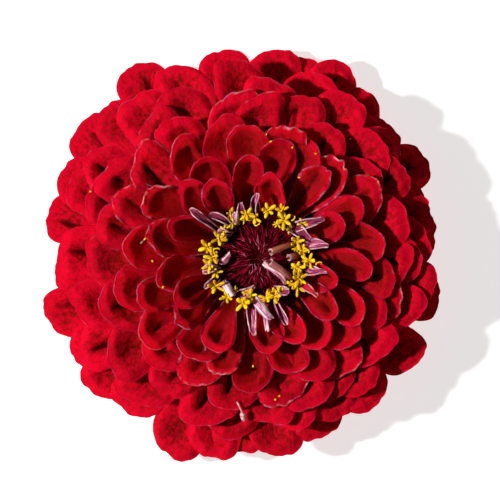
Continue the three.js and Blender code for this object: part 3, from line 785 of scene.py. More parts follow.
def petal_tree():
    tree, start, end = new_tree("grow_petals", across=33, along=41, claw=CLAW_HALF_WIDTH, widest_at=WIDEST_AT)
    mesh, column, row = grid_on_seeds(tree, start)
    names = "number azimuth half_width cup roll sway length hollow rim_drop rim_wide ripple crumple"
    m = carried(tree, names + " fold crease_at crease skew blunt")
    claw, widest_at = [Field(tree, start.outputs[name]) for name in ("claw", "widest at")]
    petal_outline(tree, m, column, row, claw, widest_at)
    lift = petal_relief(tree, m)
    # hollowed and the crease line go to the finish, which paints shade and shadow there
    mesh = keep(tree, mesh, margin_mm=m.margin, opening=m.broad, hollowed=m.dip, wedge=m.wedge)
    mesh = keep(tree, mesh, crinkle=m.crinkle, petal_mm=(m.long_mm, m.wide_mm, m.number * 11.7))
    finish_tree(tree, start, end, mesh, *petal_place(tree, m, lift))
    return tree


petal_rule = petal_tree()
print("petal tree nodes:", len(petal_rule.nodes))


# %% The petals, tier by tier
def grown(piece, tree, finish, **sizes):
    """Runs the tree on the seeds and gives the result back as a plain mesh object."""
    modifier = piece.modifiers.new("grow", "NODES")
    modifier.node_group = tree
    sockets = {item.name: item.identifier for item in tree.interface.items_tree if item.in_out == "INPUT"}
    modifier[sockets["Finish"]] = finish
    for name, value in sizes.items():
        modifier[sockets[name.replace("_", " ")]] = value
    bpy.context.view_layer.update()
    evaluated = piece.evaluated_get(bpy.context.evaluated_depsgraph_get())
    mesh = bpy.data.meshes.new_from_object(evaluated)
    piece.modifiers.clear()
    piece.data = mesh
    return piece


def thicken(piece, thickness, *finishes):
    """Gives a sheet its thickness, with finishes for the underside and the rim."""
    for finish in finishes:
        piece.data.materials.append(finish)
    solidify = piece.modifiers.new("thickness", "SOLIDIFY")
    solidify.thickness = thickness * MM
    solidify.offset = 0
    solidify.material_offset = 1
    solidify.material_offset_rim = 2


def settle(piece, node):
    """Hangs the piece on the root body, hides the solid that it stands for, and counts its triangles."""
    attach(piece, "root")
    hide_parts(node)
    evaluated = piece.evaluated_get(bpy.context.evaluated_depsgraph_get())
    triangles = sum(len(p.vertices) - 2 for p in evaluated.to_mesh().polygons)
    evaluated.to_mesh_clear()
    print(piece.name, "triangles:", triangles)


PETAL_THICKNESS = 0.34
TIER = 32  # petals in each piece; the innermost has what is left
petal_pieces = []
for tier, name in enumerate(("skirt_petals", "outer_petals", "middle_petals", "inner_petals")):
    piece = grown(seeds(name, petals[tier * TIER : (tier + 1) * TIER]), petal_rule, petal_upper)
    thicken(piece, PETAL_THICKNESS, petal_under, petal_rim)
    settle(piece, "ray_petals")
    petal_pieces.append(piece)

# %% [markdown]
# ## The receptacle and the disc's dark bed
#
# The petals stand on the receptacle, the swollen end of the stem. On top of it the disc florets grow out of
# a bed of dark chaff, and the eye in the middle is a cushion of chaff only. All three are bodies of
# revolution, so a profile that is turned about the flower's axis is enough. They are seen only through the
# gaps between what stands on them, so a finish that wanders between two dark tones does.

# %% Finish and mesh of turned bodies
SIDES = 48


def plain_finish(name, dark, bright, patch, roughness):
    """Matt plant skin that wanders between two tones in patches of that size, in millimetres."""
    material, tree, shader = new_material(name)
    place = add(tree, "ShaderNodeTexCoord").outputs["Object"]
    patches = {"Vector": place, "Scale": 1 / (patch * MM), "Detail": 3}
    blotch = add(tree, "ShaderNodeTexNoise", patches).outputs["Fac"]
    colour = coated(tree, dark, (Field(tree, blotch).ease(0.35, 0.65), bright))
    bump = add(tree, "ShaderNodeBump", {"Height": blotch, "Distance": 0.15 * MM}).outputs["Normal"]
    sockets = {"Base Color": colour, "Normal": bump, "Roughness": roughness, "Specular IOR Level": 0.03}
    feed(tree, shader, sockets)
    return material


def stacked(name, rings, *finishes):
    """A closed body from rings of points that run up its outside, in millimetres from the axis."""
    sides = len(rings[0])
    points = [((x + AXIS[0]) * MM, (y + AXIS[1]) * MM, z * MM) for ring in rings for x, y, z in ring]
    faces = [tuple(reversed(range(sides)))]
    for low in range(0, len(points) - sides, sides):
        for k in range(sides):
            beside = low + (k + 1) % sides
            faces.append((low + k, beside, beside + sides, low + k + sides))
    faces.append(tuple(range(len(points) - sides, len(points))))
    mesh = bpy.data.meshes.new(name)
    mesh.from_pydata(points, [], faces)
    for finish in finishes:
        mesh.materials.append(finish)
    mesh.shade_smooth()
    return put(name, mesh)


def turned(name, profile, finish):
    """A body of revolution about the flower's axis from its profile's radii and heights."""
    sides = [2 * math.pi * k / SIDES for k in range(SIDES)]
    return stacked(name, [[polar(angle, *place) for angle in sides] for place in profile], finish)


receptacle_skin = plain_finish("receptacle_skin", "#380806", "#500f0a", 1.5, 0.8)
core_profile = [(CORE_FOOT_RADIUS, CORE_BOTTOM), (CORE_HEAD_RADIUS, CORE_TOP)]
settle(turned("receptacle", core_profile, receptacle_skin), "ray_petals")

# %% The bed of the florets and the cushion of the eye
DISC_BOTTOM = 31.8
RING_INNER_RADIUS = 9.2
RING_OUTER_RADIUS = 13.0
RING_SHOULDER = 33.2
RING_TOP = 34.0
EYE_RADIUS = 8.9
EYE_TOP = 34.2
EYE_PIT = 2.2  # mm that the middle of the eye is sunk
EYE_RIM_FALL = 1.1


def eye_height(radius):
    share = radius / EYE_RADIUS
    return EYE_TOP - EYE_PIT * (1 - ease(0, 0.42, share)) - EYE_RIM_FALL * ease(0.6, 1, share)


bed_profile = [(CORE_HEAD_RADIUS, DISC_BOTTOM), (RING_OUTER_RADIUS - 0.3, RING_SHOULDER)]
bed_profile += [(RING_OUTER_RADIUS - 0.8, RING_TOP - 0.1), (11, RING_TOP), (9.6, RING_TOP - 0.2)]
bed_profile += [(RING_INNER_RADIUS, RING_SHOULDER), (RING_INNER_RADIUS - 0.1, DISC_BOTTOM)]
eye_profile = [(EYE_RADIUS, DISC_BOTTOM)] + [(r, eye_height(r)) for r in (EYE_RADIUS, 8, 7, 6, 5, 4, 3, 2, 1)]
chaff_bed_skin = plain_finish("chaff_bed", "#1c0104", "#480408", 0.7, 0.9)
settle(turned("floret_bed", bed_profile, chaff_bed_skin), "disc_florets")
settle(turned("eye_cushion", eye_profile, chaff_bed_skin), "chaff_eye")

# %% [markdown]
# ## The tree that grows rods
#
# The lobes and tubes of the disc florets, the chaff and the hairs of the stalk are all slim rounded bodies
# that bend. They could be curves with a bevel, but a bevel can't be flat, blunt and tapered at once. One tree
# grows them all: a ball on every seed is drawn out along an arc. A seed says where the rod starts, which way
# it points, how long and wide it is, how far it bends and how blunt its ends are.

# %% The rod tree
ROD_MEASURES = "base_x base_y base_z azimuth rise turn length width thick bend blunt taper"


def rod_tree():
    tree, start, end = new_tree("grow_rods", around=8, rings=8)
    counts = {"Segments": start.outputs["around"], "Rings": start.outputs["rings"], "Radius": 1}
    ball = add(tree, "GeometryNodeMeshUVSphere", counts).outputs["Mesh"]
    mesh, x, y, z = on_seeds(tree, start, ball)
    m = carried(tree, ROD_MEASURES)
    power = 2 / m.blunt
    t = 0.5 + 0.5 * z.math("SIGN") * abs(z) ** power
    round_share = ((x * x + y * y) ** 0.5).at_least(0.001)
    slim = round_share ** (power - 1) * (1 - m.taper * t) * 0.5
    across, up = x * m.width * slim, y * m.thick * slim
    angle = m.bend * t
    arc = m.length / m.bend
    ahead = arc * angle.sin() - up * angle.sin()
    lift = arc * (1 - angle.cos()) + up * angle.cos()
    across, lift = turned_by(m.turn, across, lift)
    level, height = turned_by(m.rise, ahead, lift)
    east, north = turned_by(m.azimuth, level, across)
    mesh = keep(tree, mesh, along=t, rod_mm=(t * m.length, x * m.width, m.base_x * 7.7))
    finish_tree(tree, start, end, mesh, m.base_x + east, m.base_y + north, m.base_z + height)
    return tree


rod_rule = rod_tree()
print("rod tree nodes:", len(rod_rule.nodes))

# %% A rod's seed
LEAST_BEND = 0.01  # radians, because a straight rod would be an arc of no curvature


def rod(base, azimuth, rise, length, width, thick=None, bend=0.0, blunt=2.0, taper=0.0, turn=0.0, tone=0.5):
    """The numbers of one rod. Angles in radians; the rod bends upwards, or sideways if it is turned."""
    bent = bend if abs(bend) > LEAST_BEND else LEAST_BEND
    values = (*base, azimuth, rise, turn, length, width, thick or width, bent, blunt, taper)
    return {**dict(zip(ROD_MEASURES.split(), values)), "tone": tone}


def rod_between(foot, head, width, **shape):
    """A straight rod from one point to another."""
    way = head - foot
    rise = math.atan2(way.z, math.hypot(way.x, way.y))
    return rod(foot, math.atan2(way.y, way.x), rise, way.length, width, **shape)


print("numbers of a rod:", len(rod((0, 0, 0), 0, 0, 1, 1)))

# %% [markdown]
# ## Disc florets
#
# The small yellow flowers of the disc open from the outside in. Each is a tube that ends in five plump,
# velvety lobes, and its style arms curl out of it like hooks. They stand where the solids' stars stand, and
# younger ones crowd in beside every second one. A few curls that have come loose lie on them. Each floret
# could be one model that is copied, but then all the stars would be alike: rods can stray one by one.

# %% Finish of the florets
GOLD_GRAIN = 0.25  # mm


def petal_of_gold(name, dark, bright):
    """Velvety yellow: brighter towards the ends of the lobes, with a fine grain that glitters like pollen."""
    material, tree, shader = new_material(name)
    m = carried(tree, "along tone")
    own = add(tree, "ShaderNodeAttribute", attribute_name="rod_mm").outputs["Vector"]
    grains = {"Vector": own, "Scale": 1 / GOLD_GRAIN, "Detail": 2}
    grain = Field(tree, add(tree, "ShaderNodeTexNoise", grains).outputs["Fac"])
    colour = coated(tree, dark, (m.tone * 0.7 + m.along * 0.35 + (grain - 0.5) * 0.8, bright))
    bump = add(tree, "ShaderNodeBump", {"Height": grain, "Distance": 0.12 * MM}).outputs["Normal"]
    feed(tree, shader, {"Base Color": colour, "Normal": bump, "Roughness": 0.5, "Specular IOR Level": 0.3})
    return material


floret_gold = petal_of_gold("floret_gold", "#b06602", "#ffd806")
print("finish:", floret_gold.name)

# %% Disc florets
FLORETS = [  # azimuth in degrees, distance from the axis, height and size of the open disc florets
    (94, 10.7, 37.0, 0.9), (104, 11.9, 37.6, 0.9), (77, 13.1, 37.4, 1), (62, 14.5, 37.3, 0.9),
    (53.5, 12.4, 38.4, 1.05), (37, 15.4, 37.6, 0.7), (22, 11.6, 37.9, 1), (8, 12.6, 37.3, 0.8),
    (-4, 14.2, 38.2, 1), (-15, 11.5, 37.6, 1), (-27, 12.9, 38.3, 1.05), (-37, 13.8, 37.5, 0.9),
    (-57, 11.1, 37.4, 0.9), (-66, 11.6, 38.1, 1), (-77, 11.5, 37.3, 0.85), (-100, 10.6, 37.2, 0.9),
    (-107, 13.1, 38.2, 1.1), (-127, 13.7, 37.4, 0.8), (-145, 13.8, 38.0, 1.05), (-160, 12.2, 37.2, 0.8),
    (-170, 13.2, 37.9, 0.95), (180, 12.2, 38.5, 1), (169, 13.8, 37.7, 1), (154.5, 11.6, 37.9, 1),
    (139, 11.8, 37.2, 0.7), (122, 13.6, 37.5, 0.8),
]  # fmt: skip
FLORET_REACH = 2.5
FLORET_FOOT = 33.2
FOOT_RADIUS = 12.3
TUBE_WIDTH = 1.1
LOBE_START = 0.35  # mm from the middle of the star to where a lobe parts from it
LOBE_WIDTH = 1.0


def lobe_rod(middle, azimuth, size, tilt, number):
    out = Vector((math.cos(azimuth), math.sin(azimuth), 0))
    length = FLORET_REACH * size * (1 + 0.2 * draw(number, 22)) - LOBE_START
    rise = 0.2 + 0.3 * draw(number, 23) + tilt
    width = LOBE_WIDTH * size * (1 + 0.2 * draw(number, 24))
    looks = {"bend": 0.5 + 0.9 * draw(number, 25), "blunt": 2.3, "tone": 0.6 + 0.4 * draw(number, 26)}
    return rod(middle + LOBE_START * out, azimuth, rise, length, width, thick=0.7 * width, **looks)


def floret(place, index):
    """A tube, five lobes in a star that is tilted to one side, and the two curled arms of the style."""
    degrees, radius, height, size = place
    side = math.radians(degrees)
    middle, foot = polar(side, radius, height), polar(side, min(radius, FOOT_RADIUS), FLORET_FOOT)
    rods = [rod_between(foot, middle, TUBE_WIDTH, blunt=6, taper=-0.2, tone=0.2)]
    for lobe in range(5):
        number = index * 10 + lobe * 2
        azimuth = 2 * math.pi * lobe / 5 + draw(index, 21) + side + 0.22 * draw(number, 29)
        tilt = 0.45 * draw(index, 27) * math.cos(azimuth - math.pi * draw(index, 28))
        rods.append(lobe_rod(middle, azimuth, size, tilt, number))
    for arm in range(2):
        azimuth = math.pi * draw(index, 30) + arm * math.pi
        rods.append(rod(middle, azimuth, 1.35, 1.9, 0.38, bend=-2.6, tone=0.75, blunt=3))
    return rods


def crowding(place, index):
    """A younger floret that is squeezed in beside an open one."""
    degrees, radius, height, size = place
    inward = min(radius, 12) - 0.5 + 0.8 * draw(index, 72)
    return degrees + 5 * draw(index, 71), inward, height - 0.5, size * (0.6 + 0.15 * draw(index, 73))


crowd = [crowding(place, index) for index, place in enumerate(FLORETS) if index % 2]
disc_rods = [part for index, place in enumerate(FLORETS + crowd) for part in floret(place, index)]
print("open florets:", len(FLORETS), "younger ones:", len(crowd))

# %% Loose curls
CURLS = [  # azimuth and distance from the axis, heading, height and length of the loose yellow curls
    (-66, 11.8, 40, 38.9, 4.6), (-57, 11.4, 150, 38.4, 2.6), (86, 9.6, -80, 37.0, 2.2),
    (48, 15.2, -60, 38.3, 2.0), (-122, 13.0, 200, 38.4, 2.2), (9, 12.6, 70, 38.6, 3.0),
    (-8, 16.2, 100, 38.6, 2.4), (60, 10.4, 100, 38.6, 2.2), (-95, 11.8, 250, 38.8, 2.2),
    (172, 12.0, 90, 38.9, 2.4),
]  # fmt: skip
CURL_WIDTH = 0.42
CURL_RISE = 0.25
for degrees, radius, heading, height, length in CURLS:
    curl = {"turn": math.pi / 2, "bend": min(5.2, 1.15 * length), "blunt": 4, "tone": 0.9}
    foot = polar(math.radians(degrees), radius, height)
    disc_rods.append(rod(foot, math.radians(heading), CURL_RISE, length, CURL_WIDTH, **curl))
stars = grown(seeds("disc_stars", disc_rods), rod_rule, floret_gold, around=10, rings=9)
settle(stars, "disc_florets")

# %% [markdown]
# ## Young rays
#
# Among the disc florets stand ray florets that haven't opened: strips that are still rolled lengthwise into
# quills, or half open. Their outside is pale, from mauve to nearly white, because the crimson comes last.
# A curve with a round bevel could make the quills but not the half-open ones. So each is a grid whose
# cross-section is an arc: nearly a full circle makes a quill, half of one a trough.

# %% The young rays' seeds
YOUNG_RAYS = [
    # azimuth and distance of the foot, the same of the tip, height of the tip, width, and then the looks:
    # how far it is rolled, from 0 to 1, how pale it is and how tan
    (90, 12.2, 90, 17.5, 39.0, 2.0, 0.9, 0.35, 0), (106, 12.4, 107, 15.6, 38.4, 2.4, 0.4, 0.4, 0),
    (117.5, 11.0, 115, 14.0, 38.0, 2.2, 0.5, 0.85, 0), (146, 12.4, 144, 22.6, 40.6, 2.2, 0.85, 0.3, 0.1),
    (133.5, 10.4, 136, 17.6, 38.8, 2.2, 0.9, 0.2, 0.1), (140, 10.2, 146, 13.0, 38.8, 1.9, 1, 0.3, 0.4),
    (17, 10.6, 22, 3.4, 37.9, 1.7, 1, 0.3, 1), (-32, 10.6, -18, 3.2, 38.3, 1.9, 0.95, 0.5, 0.75),
    (-43, 10.3, -50, 2.2, 37.4, 1.9, 0.6, 0.82, 0.2), (41, 12.2, 17, 14.6, 38.6, 3.4, 0.5, 0.4, 0),
    (37, 12.4, 29, 21.0, 39.6, 2.6, 0.4, 0.45, 0), (16, 12.6, 10, 19.8, 38.8, 3.2, 0.2, 0.62, 0),
    (2, 10.6, -3, 8.2, 37.6, 1.7, 1, 0.4, 0.7), (-12.6, 12.5, -11.6, 19.6, 39.3, 2.6, 0.4, 0.6, 0),
    (-57, 10.3, -45, 12.4, 39.2, 2.6, 0.7, 0.65, 0), (-30, 12.5, -32, 19.6, 39.2, 2.2, 0.2, 0, 0),
    (-140, 11.2, -121, 12.5, 38.8, 2.4, 0.6, 0.7, 0), (-116, 10.3, -94, 8.2, 38.0, 2.2, 0.5, 0.6, 0),
    (-160, 12.0, -166, 15.4, 38.4, 2.6, 0.95, 0.3, 0), (-153, 12.2, -151, 16.8, 38.2, 1.9, 0.5, 0.4, 0),
    (-91, 11.1, -78, 17.6, 39.4, 2.9, 0.4, 0.76, 0), (-98, 12.4, -92, 21.4, 39.4, 2.6, 0.5, 0.55, 0),
    (-62, 12.2, -66, 20.2, 39.4, 1.9, 0.85, 0.5, 0), (-84, 12.5, -82, 20.6, 38.0, 1.8, 0.4, 0.7, 0),
    (-176, 10.3, 172, 7.2, 37.6, 1.9, 0.5, 0.78, 0.2),
]  # fmt: skip
YOUNG_FOOT = RING_TOP - 0.7
QUILL = 0.65  # rays that are rolled further than this are quills, which open only at the tip
BROWNED = 0.5  # rays that are more tan than this, or paler than the next, lie with their outside up
WHITENED = 0.68


def young_seed(row, index):
    degrees, radius, tip_degrees, tip_radius, tip_height, width, rolled, pale, tan = row
    foot = polar(math.radians(degrees), radius, YOUNG_FOOT)
    way = polar(math.radians(tip_degrees), tip_radius, tip_height) - foot
    quill = rolled > QUILL
    return {
        "number": index,
        "foot_x": foot.x,
        "foot_y": foot.y,
        "tip_z": tip_height,
        "heading": math.atan2(way.y, way.x),
        "reach": math.hypot(way.x, way.y),
        "half_width": width / 2,
        "closing": mix(0.8, 2.75, rolled),  # half of the angle of the arc across it, in radians
        "opens": 0.25 if quill else 0.3,  # how much of that it loses towards the tip
        "quill": int(quill),
        "over": int(tan > BROWNED or pale > WHITENED),
        "pale": pale,
        "tan": tan,
        "skew": 0.22 * draw(index, 51),
        "wave": mix(0.6, 0.25, rolled),
        "twist": mix(0.9, 0.3, rolled) * draw(index, 52),
        "bow": (1.1 if tan < BROWNED else 0.5) * draw(index, 53),
        "droop": mix(0.4, 1.6, 0.5 + 0.5 * draw(index, 54)) * (1 - tan),
    }


young_seeds = [young_seed(row, index) for index, row in enumerate(YOUNG_RAYS)]
print("young rays:", len(young_seeds), "of them quills:", sum(seed["quill"] for seed in young_seeds))


# %% The tree that grows a young ray
YOUNG_NECK = 2.4  # mm that a young ray stands up before it leans over


def young_place(tree, m, side, along):
    """How far along the ray a point lies. Strips end ragged, and quills are cut aslant or have a mouth."""
    edge = abs(side)
    ragged = 1 - 0.16 * edge * edge * edge - 0.03 * (edge * 9 + m.number).sin()
    oblique = 1 - 0.34 * edge * edge
    mouth = 0.95 + 0.05 * edge * edge
    cut = ragged + (oblique + (mouth - oblique) * m.over - ragged) * m.quill
    torn = 0.04 * waves(tree, side * 4, 0, m.number * 3.3, 1)
    return along * (cut + (1 - m.over) * m.skew * side * along + torn)


def young_section(tree, m, side, t):
    """The arc across the ray: its radius and half angle, and where its points lie beside and above it."""
    swell = 0.45 + 0.55 * (t.at_most(0.86) * math.pi).sin()
    swell = swell + (0.6 + 0.4 * t - swell) * m.quill
    closed = m.closing - m.opens * t.ease(0.45, 1) * (1 - m.over)
    radius = m.half_width * swell / closed.at_most(math.pi / 2).sin()
    angle = side * closed
    trough = radius * (1 - angle.cos())
    ridge = radius * (angle.cos() - closed.cos())
    lift = trough + (ridge - trough) * m.over
    lift = lift + m.wave * t * waves(tree, side * 2, t * m.reach, m.number * 7.1, 1.6)
    lateral, lift = turned_by(m.twist * t * t, radius * angle.sin(), lift)
    return radius, closed, lateral + m.bow * (t * math.pi).sin(), lift


def young_tree():
    tree, start, end = new_tree("grow_young_rays", across=19, along=27, neck=YOUNG_NECK)
    mesh, column, row = grid_on_seeds(tree, start)
    names = "number foot_x foot_y tip_z heading reach half_width closing opens quill over skew wave twist bow"
    m = carried(tree, names + " droop")
    side, along = -column, (row * (math.pi / 2)).sin()
    t = young_place(tree, m, side, along).between(0, 1)
    radius, closed, lateral, lift = young_section(tree, m, side, t)

    leave_z = Field(tree, start.outputs["neck"]) + YOUNG_FOOT
    ahead, run_out = bezier([0, 0.05 * m.reach, 0.45 * m.reach, m.reach], t)
    height, run_up = bezier([YOUNG_FOOT, leave_z, 0.1 * YOUNG_FOOT + 0.9 * m.tip_z, m.tip_z], t)
    run = (run_out * run_out + run_up * run_up) ** 0.5
    x, y = turned_by(m.heading, ahead - run_up / run * lift, lateral)
    z = height + run_out / run * lift - m.droop * t.ease(0.55, 1.1)

    margin = ((1 - abs(side)) * radius * closed).at_most((1 - along) * m.reach)
    own = (t * m.reach, radius * (side * closed), m.number * 9.1)
    mesh = keep(tree, mesh, margin_mm=margin, along=t, petal_mm=own)
    finish_tree(tree, start, end, mesh, m.foot_x + x, m.foot_y + y, z)
    return tree


young_rule = young_tree()
print("young ray tree nodes:", len(young_rule.nodes))

# %% Finishes of the young rays
YOUNG_CRIMSON = "#b80828"
WITHERED_TAN = "#a8602c"
YOUNG_MARGIN = "#eccac8"


def streaky(tree, stretch, detail):
    """A noise over a blade's own measures. stretch says how fast it changes along the blade and across."""
    own = add(tree, "ShaderNodeAttribute", attribute_name="petal_mm").outputs["Vector"]
    drawn_out = add(tree, "ShaderNodeMapping", {"Vector": own, "Scale": (*stretch, 1)}).outputs["Vector"]
    settings = {"Vector": drawn_out, "Scale": 1, "Detail": detail}
    return Field(tree, add(tree, "ShaderNodeTexNoise", settings).outputs["Fac"])


def young_finish(name, deep, middle, light):
    """An unopened ray: dark mauve, pink and nearly white in streaks, with a light margin."""
    material, tree, shader = new_material(name)
    m = carried(tree, "pale tan margin_mm along")
    streaks, halves = streaky(tree, (0.35, 2.2), 3), streaky(tree, (0.12, 0.7), 1)
    share = m.pale * 0.9 + (streaks - 0.5) * 2.6 + (halves - 0.5) * 0.7 + (m.along - 0.6) * 0.3
    withered = m.tan * (0.75 + (streaks - 0.5) * 1.6)
    edge = (1 - m.margin_mm.ease(0.05, 0.3)) * ((streaks - 0.3) * 2.2).between(0, 1)
    coats = [(share * 1.7, middle), ((share * 3.2 - 2.1).between(0, 0.9), light)]
    coats += [(1 - m.pale * 6, YOUNG_CRIMSON), (withered, WITHERED_TAN), (edge, YOUNG_MARGIN)]
    relief = {"Height": streaks, "Distance": 0.3 * MM, "Strength": 0.6}
    sockets = {
        "Base Color": coated(tree, deep, *coats),
        "Normal": add(tree, "ShaderNodeBump", relief).outputs["Normal"],
        "Roughness": 0.6,
        "Specular IOR Level": 0.15,
    }
    feed(tree, shader, sockets)
    return material


young_outside = young_finish("young_ray_outside", "#6c1040", "#b4507e", "#f4dedc")
# The inside finish is darker: partly the deeper red of a ray's upper side, partly painted shade inside the
# rolled quills.
young_inside = young_finish("young_ray_inside", "#400414", "#9c2c58", "#e8b0bc")
print("finishes:", young_outside.name, young_inside.name)

# %% Young rays, inside up and outside up
YOUNG_THICKNESS = 0.3
UP_SIDES = {  # for each piece the finishes of its upper and lower side
    "young_rays": (young_inside, young_outside),
    "young_quills": (young_outside, young_inside),
}
for over, (name, (upper, lower)) in enumerate(UP_SIDES.items()):
    piece = grown(seeds(name, [seed for seed in young_seeds if seed["over"] == over]), young_rule, upper)
    thicken(piece, YOUNG_THICKNESS, lower, young_outside)
    settle(piece, "disc_florets")

# %% [markdown]
# ## The eye
#
# In the middle no florets have opened yet, and what shows are the stiff dark tips of the chaff, the scales
# that each disc floret grows in. They lean in towards a black pit. They could be strewn at random, but that
# leaves bald spots, and golden-angle spacing packs them evenly, as it does on the plant. Every one is a
# tapered rod that curves inwards.

# %% Chaff
CHAFF_SCALES = 400
CHAFF_START = 2.6  # mm from the axis to the innermost
CHAFF_REACH = 12.4


def chaff(index):
    azimuth = index * GOLDEN_ANGLE + 0.35 * draw(index, 31)
    radius = CHAFF_START + (CHAFF_REACH - CHAFF_START) * math.sqrt((index + 0.5) / CHAFF_SCALES)
    height = graded(eye_height(min(radius, EYE_RADIUS)) - 0.4, RING_TOP - 0.5, 8.4, 9.2, radius)
    length = graded(1.8, 3.8, 2, 6, radius) * graded(1, 0.7, 9, 11, radius) * (1 + 0.2 * draw(index, 32))
    rise = mix(1.0, 0.7, radius / CHAFF_REACH) + 0.25 * draw(index, 33)
    heading = azimuth + math.pi + 0.35 * draw(index, 34)
    shape = {"bend": -0.7 + 0.5 * draw(index, 35), "taper": 0.8, "turn": 0.4 * draw(index, 36), "blunt": 2.2}
    tone = (0.5 + 0.5 * draw(index, 38)) * graded(1, 0.5, 8, 10, radius)
    width = 0.38 + 0.1 * draw(index, 37)
    return rod(polar(azimuth, radius, height), heading, rise, length, width, tone=tone, **shape)


def chaff_finish(name, root, tip, light):
    """Dry dark scale: deep red at the root, crimson at the tip, and on some a painted glint of pale pink at
    the end.
    """
    material, tree, shader = new_material(name)
    m = carried(tree, "along tone")
    share = m.along.ease(0.1, 0.8) * (0.4 + m.tone * 0.6)
    # glint: a painted highlight near the ends of the brighter scales
    glint = m.tone.ease(0.55, 0.9) * m.along.ease(0.5, 0.85) * 0.9
    colour = coated(tree, root, (share, tip), (glint, light))
    feed(tree, shader, {"Base Color": colour, "Roughness": 0.5, "Specular IOR Level": 0.02})
    return material


chaff_skin = chaff_finish("chaff_scale", "#240104", "#cc0e44", "#d898ac")
chaff_seeds = seeds("chaff_scales", [chaff(index) for index in range(CHAFF_SCALES)])
settle(grown(chaff_seeds, rod_rule, chaff_skin, around=6, rings=7), "chaff_eye")

# %% [markdown]
# ## What has fallen on the petals
#
# The disc sheds pollen in clumps, and here and there a spent floret lies on the petals. Each bit has to
# touch the petal under it. A height that is set by hand would be wrong as soon as a petal changes. A ray that
# is cast straight down on the finished petals gives the height there, so the bits need only their place in
# plan.

# %% Pollen
POLLEN = [  # x and y from the axis, heading in degrees, length and width of each clump
    (3.4, 31.4, 20, 0.7, 0.5), (2.5, 33.3, 80, 0.6, 0.4), (11.2, 21.8, 10, 0.7, 0.5),
    (9.5, 29.7, 60, 0.6, 0.45), (15.7, 28.3, 0, 0.6, 0.45), (25.5, 32.5, 30, 0.6, 0.4),
    (-31.2, 4.6, 45, 1.5, 0.5), (-28.6, -1.4, 120, 0.7, 0.5), (-25.8, -8.4, 50, 0.7, 0.55),
    (-1.1, -30.5, 90, 0.8, 0.65),
    (-46.3, 18.1, 0, 0.6, 0.4), (5.8, -38.2, 10, 0.6, 0.5), (4.8, -39.3, 40, 0.6, 0.5),
]  # fmt: skip
LYING_HEIGHT = 0.15  # mm from the petal to the middle of what lies on it
LYING_RISE = 0.1  # radians that it tips up
CAST_HEIGHT = 60  # mm, above every petal
depsgraph = bpy.context.evaluated_depsgraph_get()
petal_skins = [BVHTree.FromObject(piece, depsgraph) for piece in petal_pieces]


def lying_at(x, y):
    """The place in millimetres from the axis, at the height of the uppermost petal there."""
    above = Vector((AXIS[0] + x, AXIS[1] + y, CAST_HEIGHT)) * MM
    hits = [skin.ray_cast(above, Vector((0, 0, -1)))[0] for skin in petal_skins]
    return Vector((x, y, max(hit.z for hit in hits if hit) / MM + LYING_HEIGHT))


clumps = []
for x, y, heading, length, width in POLLEN:
    clumps.append(rod(lying_at(x, y), math.radians(heading), LYING_RISE, length, width, blunt=2.3, tone=0.9))
settle(grown(seeds("pollen_clumps", clumps), rod_rule, floret_gold), "ray_petals")

# %% Spent florets
BUD_DROP = 0.8  # mm that the thick end of the spent floret lies lower than its style
style_skin = plain_finish("spent_floret_pink", "#b8506c", "#f6c4c0", 0.7, 0.5)
ends = [lying_at(*place) for place in ((-5.6, -39.6), (-4.2, -42.4), (-3.6, -45.2))]
style_foot, bud_foot, bud_tip = ends
resting = max(end.z for end in ends) + BUD_DROP
style_foot.z, bud_foot.z, bud_tip.z = resting, resting, resting - BUD_DROP
spent = [
    rod_between(style_foot, bud_foot, 0.5, blunt=5),
    rod_between(bud_foot, bud_tip, 1.6, taper=0.2, blunt=2.4),
    rod(lying_at(-32.2, 3.6), math.radians(45), LYING_RISE, 1.3, 0.55, blunt=2.5),
]
settle(grown(seeds("spent_floret", spent), rod_rule, style_skin), "ray_petals")
print("lying on the petals:", len(clumps), "clumps and", len(spent), "parts of spent florets")

# %% [markdown]
# ## Calyx
#
# Blunt green bracts overlap like roof tiles on a cup under the petals. Each has a dark, fringed tip. One
# bract could be copied in rings, but the cup widens from row to row. So a tree bends each of them round the
# cup at its own height, and the cup itself is the solid's, turned.

# %% The calyx's cup
STALK_RADIUS = 3.2
STALK_NECK_RADIUS = 4.2
STALK_TOP = 4.5
CALYX_BOTTOM = 4.8
CALYX_TOP = 15.0
CALYX_RADIUS = 10.6
CUP_WIDENS = (CALYX_BOTTOM - 2.5, 12.5)  # the heights that the cup swells between
CUP_HEIGHTS = (CALYX_BOTTOM, 6, 7, 8, 9, 10, 11, 12, 13, 14, CALYX_TOP)
cup_skin = plain_finish("calyx_cup_green", "#3c5420", "#5d7a38", 2, 0.65)
cup_profile = [(graded(STALK_NECK_RADIUS, CALYX_RADIUS, *CUP_WIDENS, z), z) for z in CUP_HEIGHTS]
settle(turned("calyx_cup", cup_profile, cup_skin), "calyx")

# %% The tree that grows a bract
BRACT_FRINGE = 0.5
BRACT_SQUARENESS = 2.5  # 2 would be an ellipse


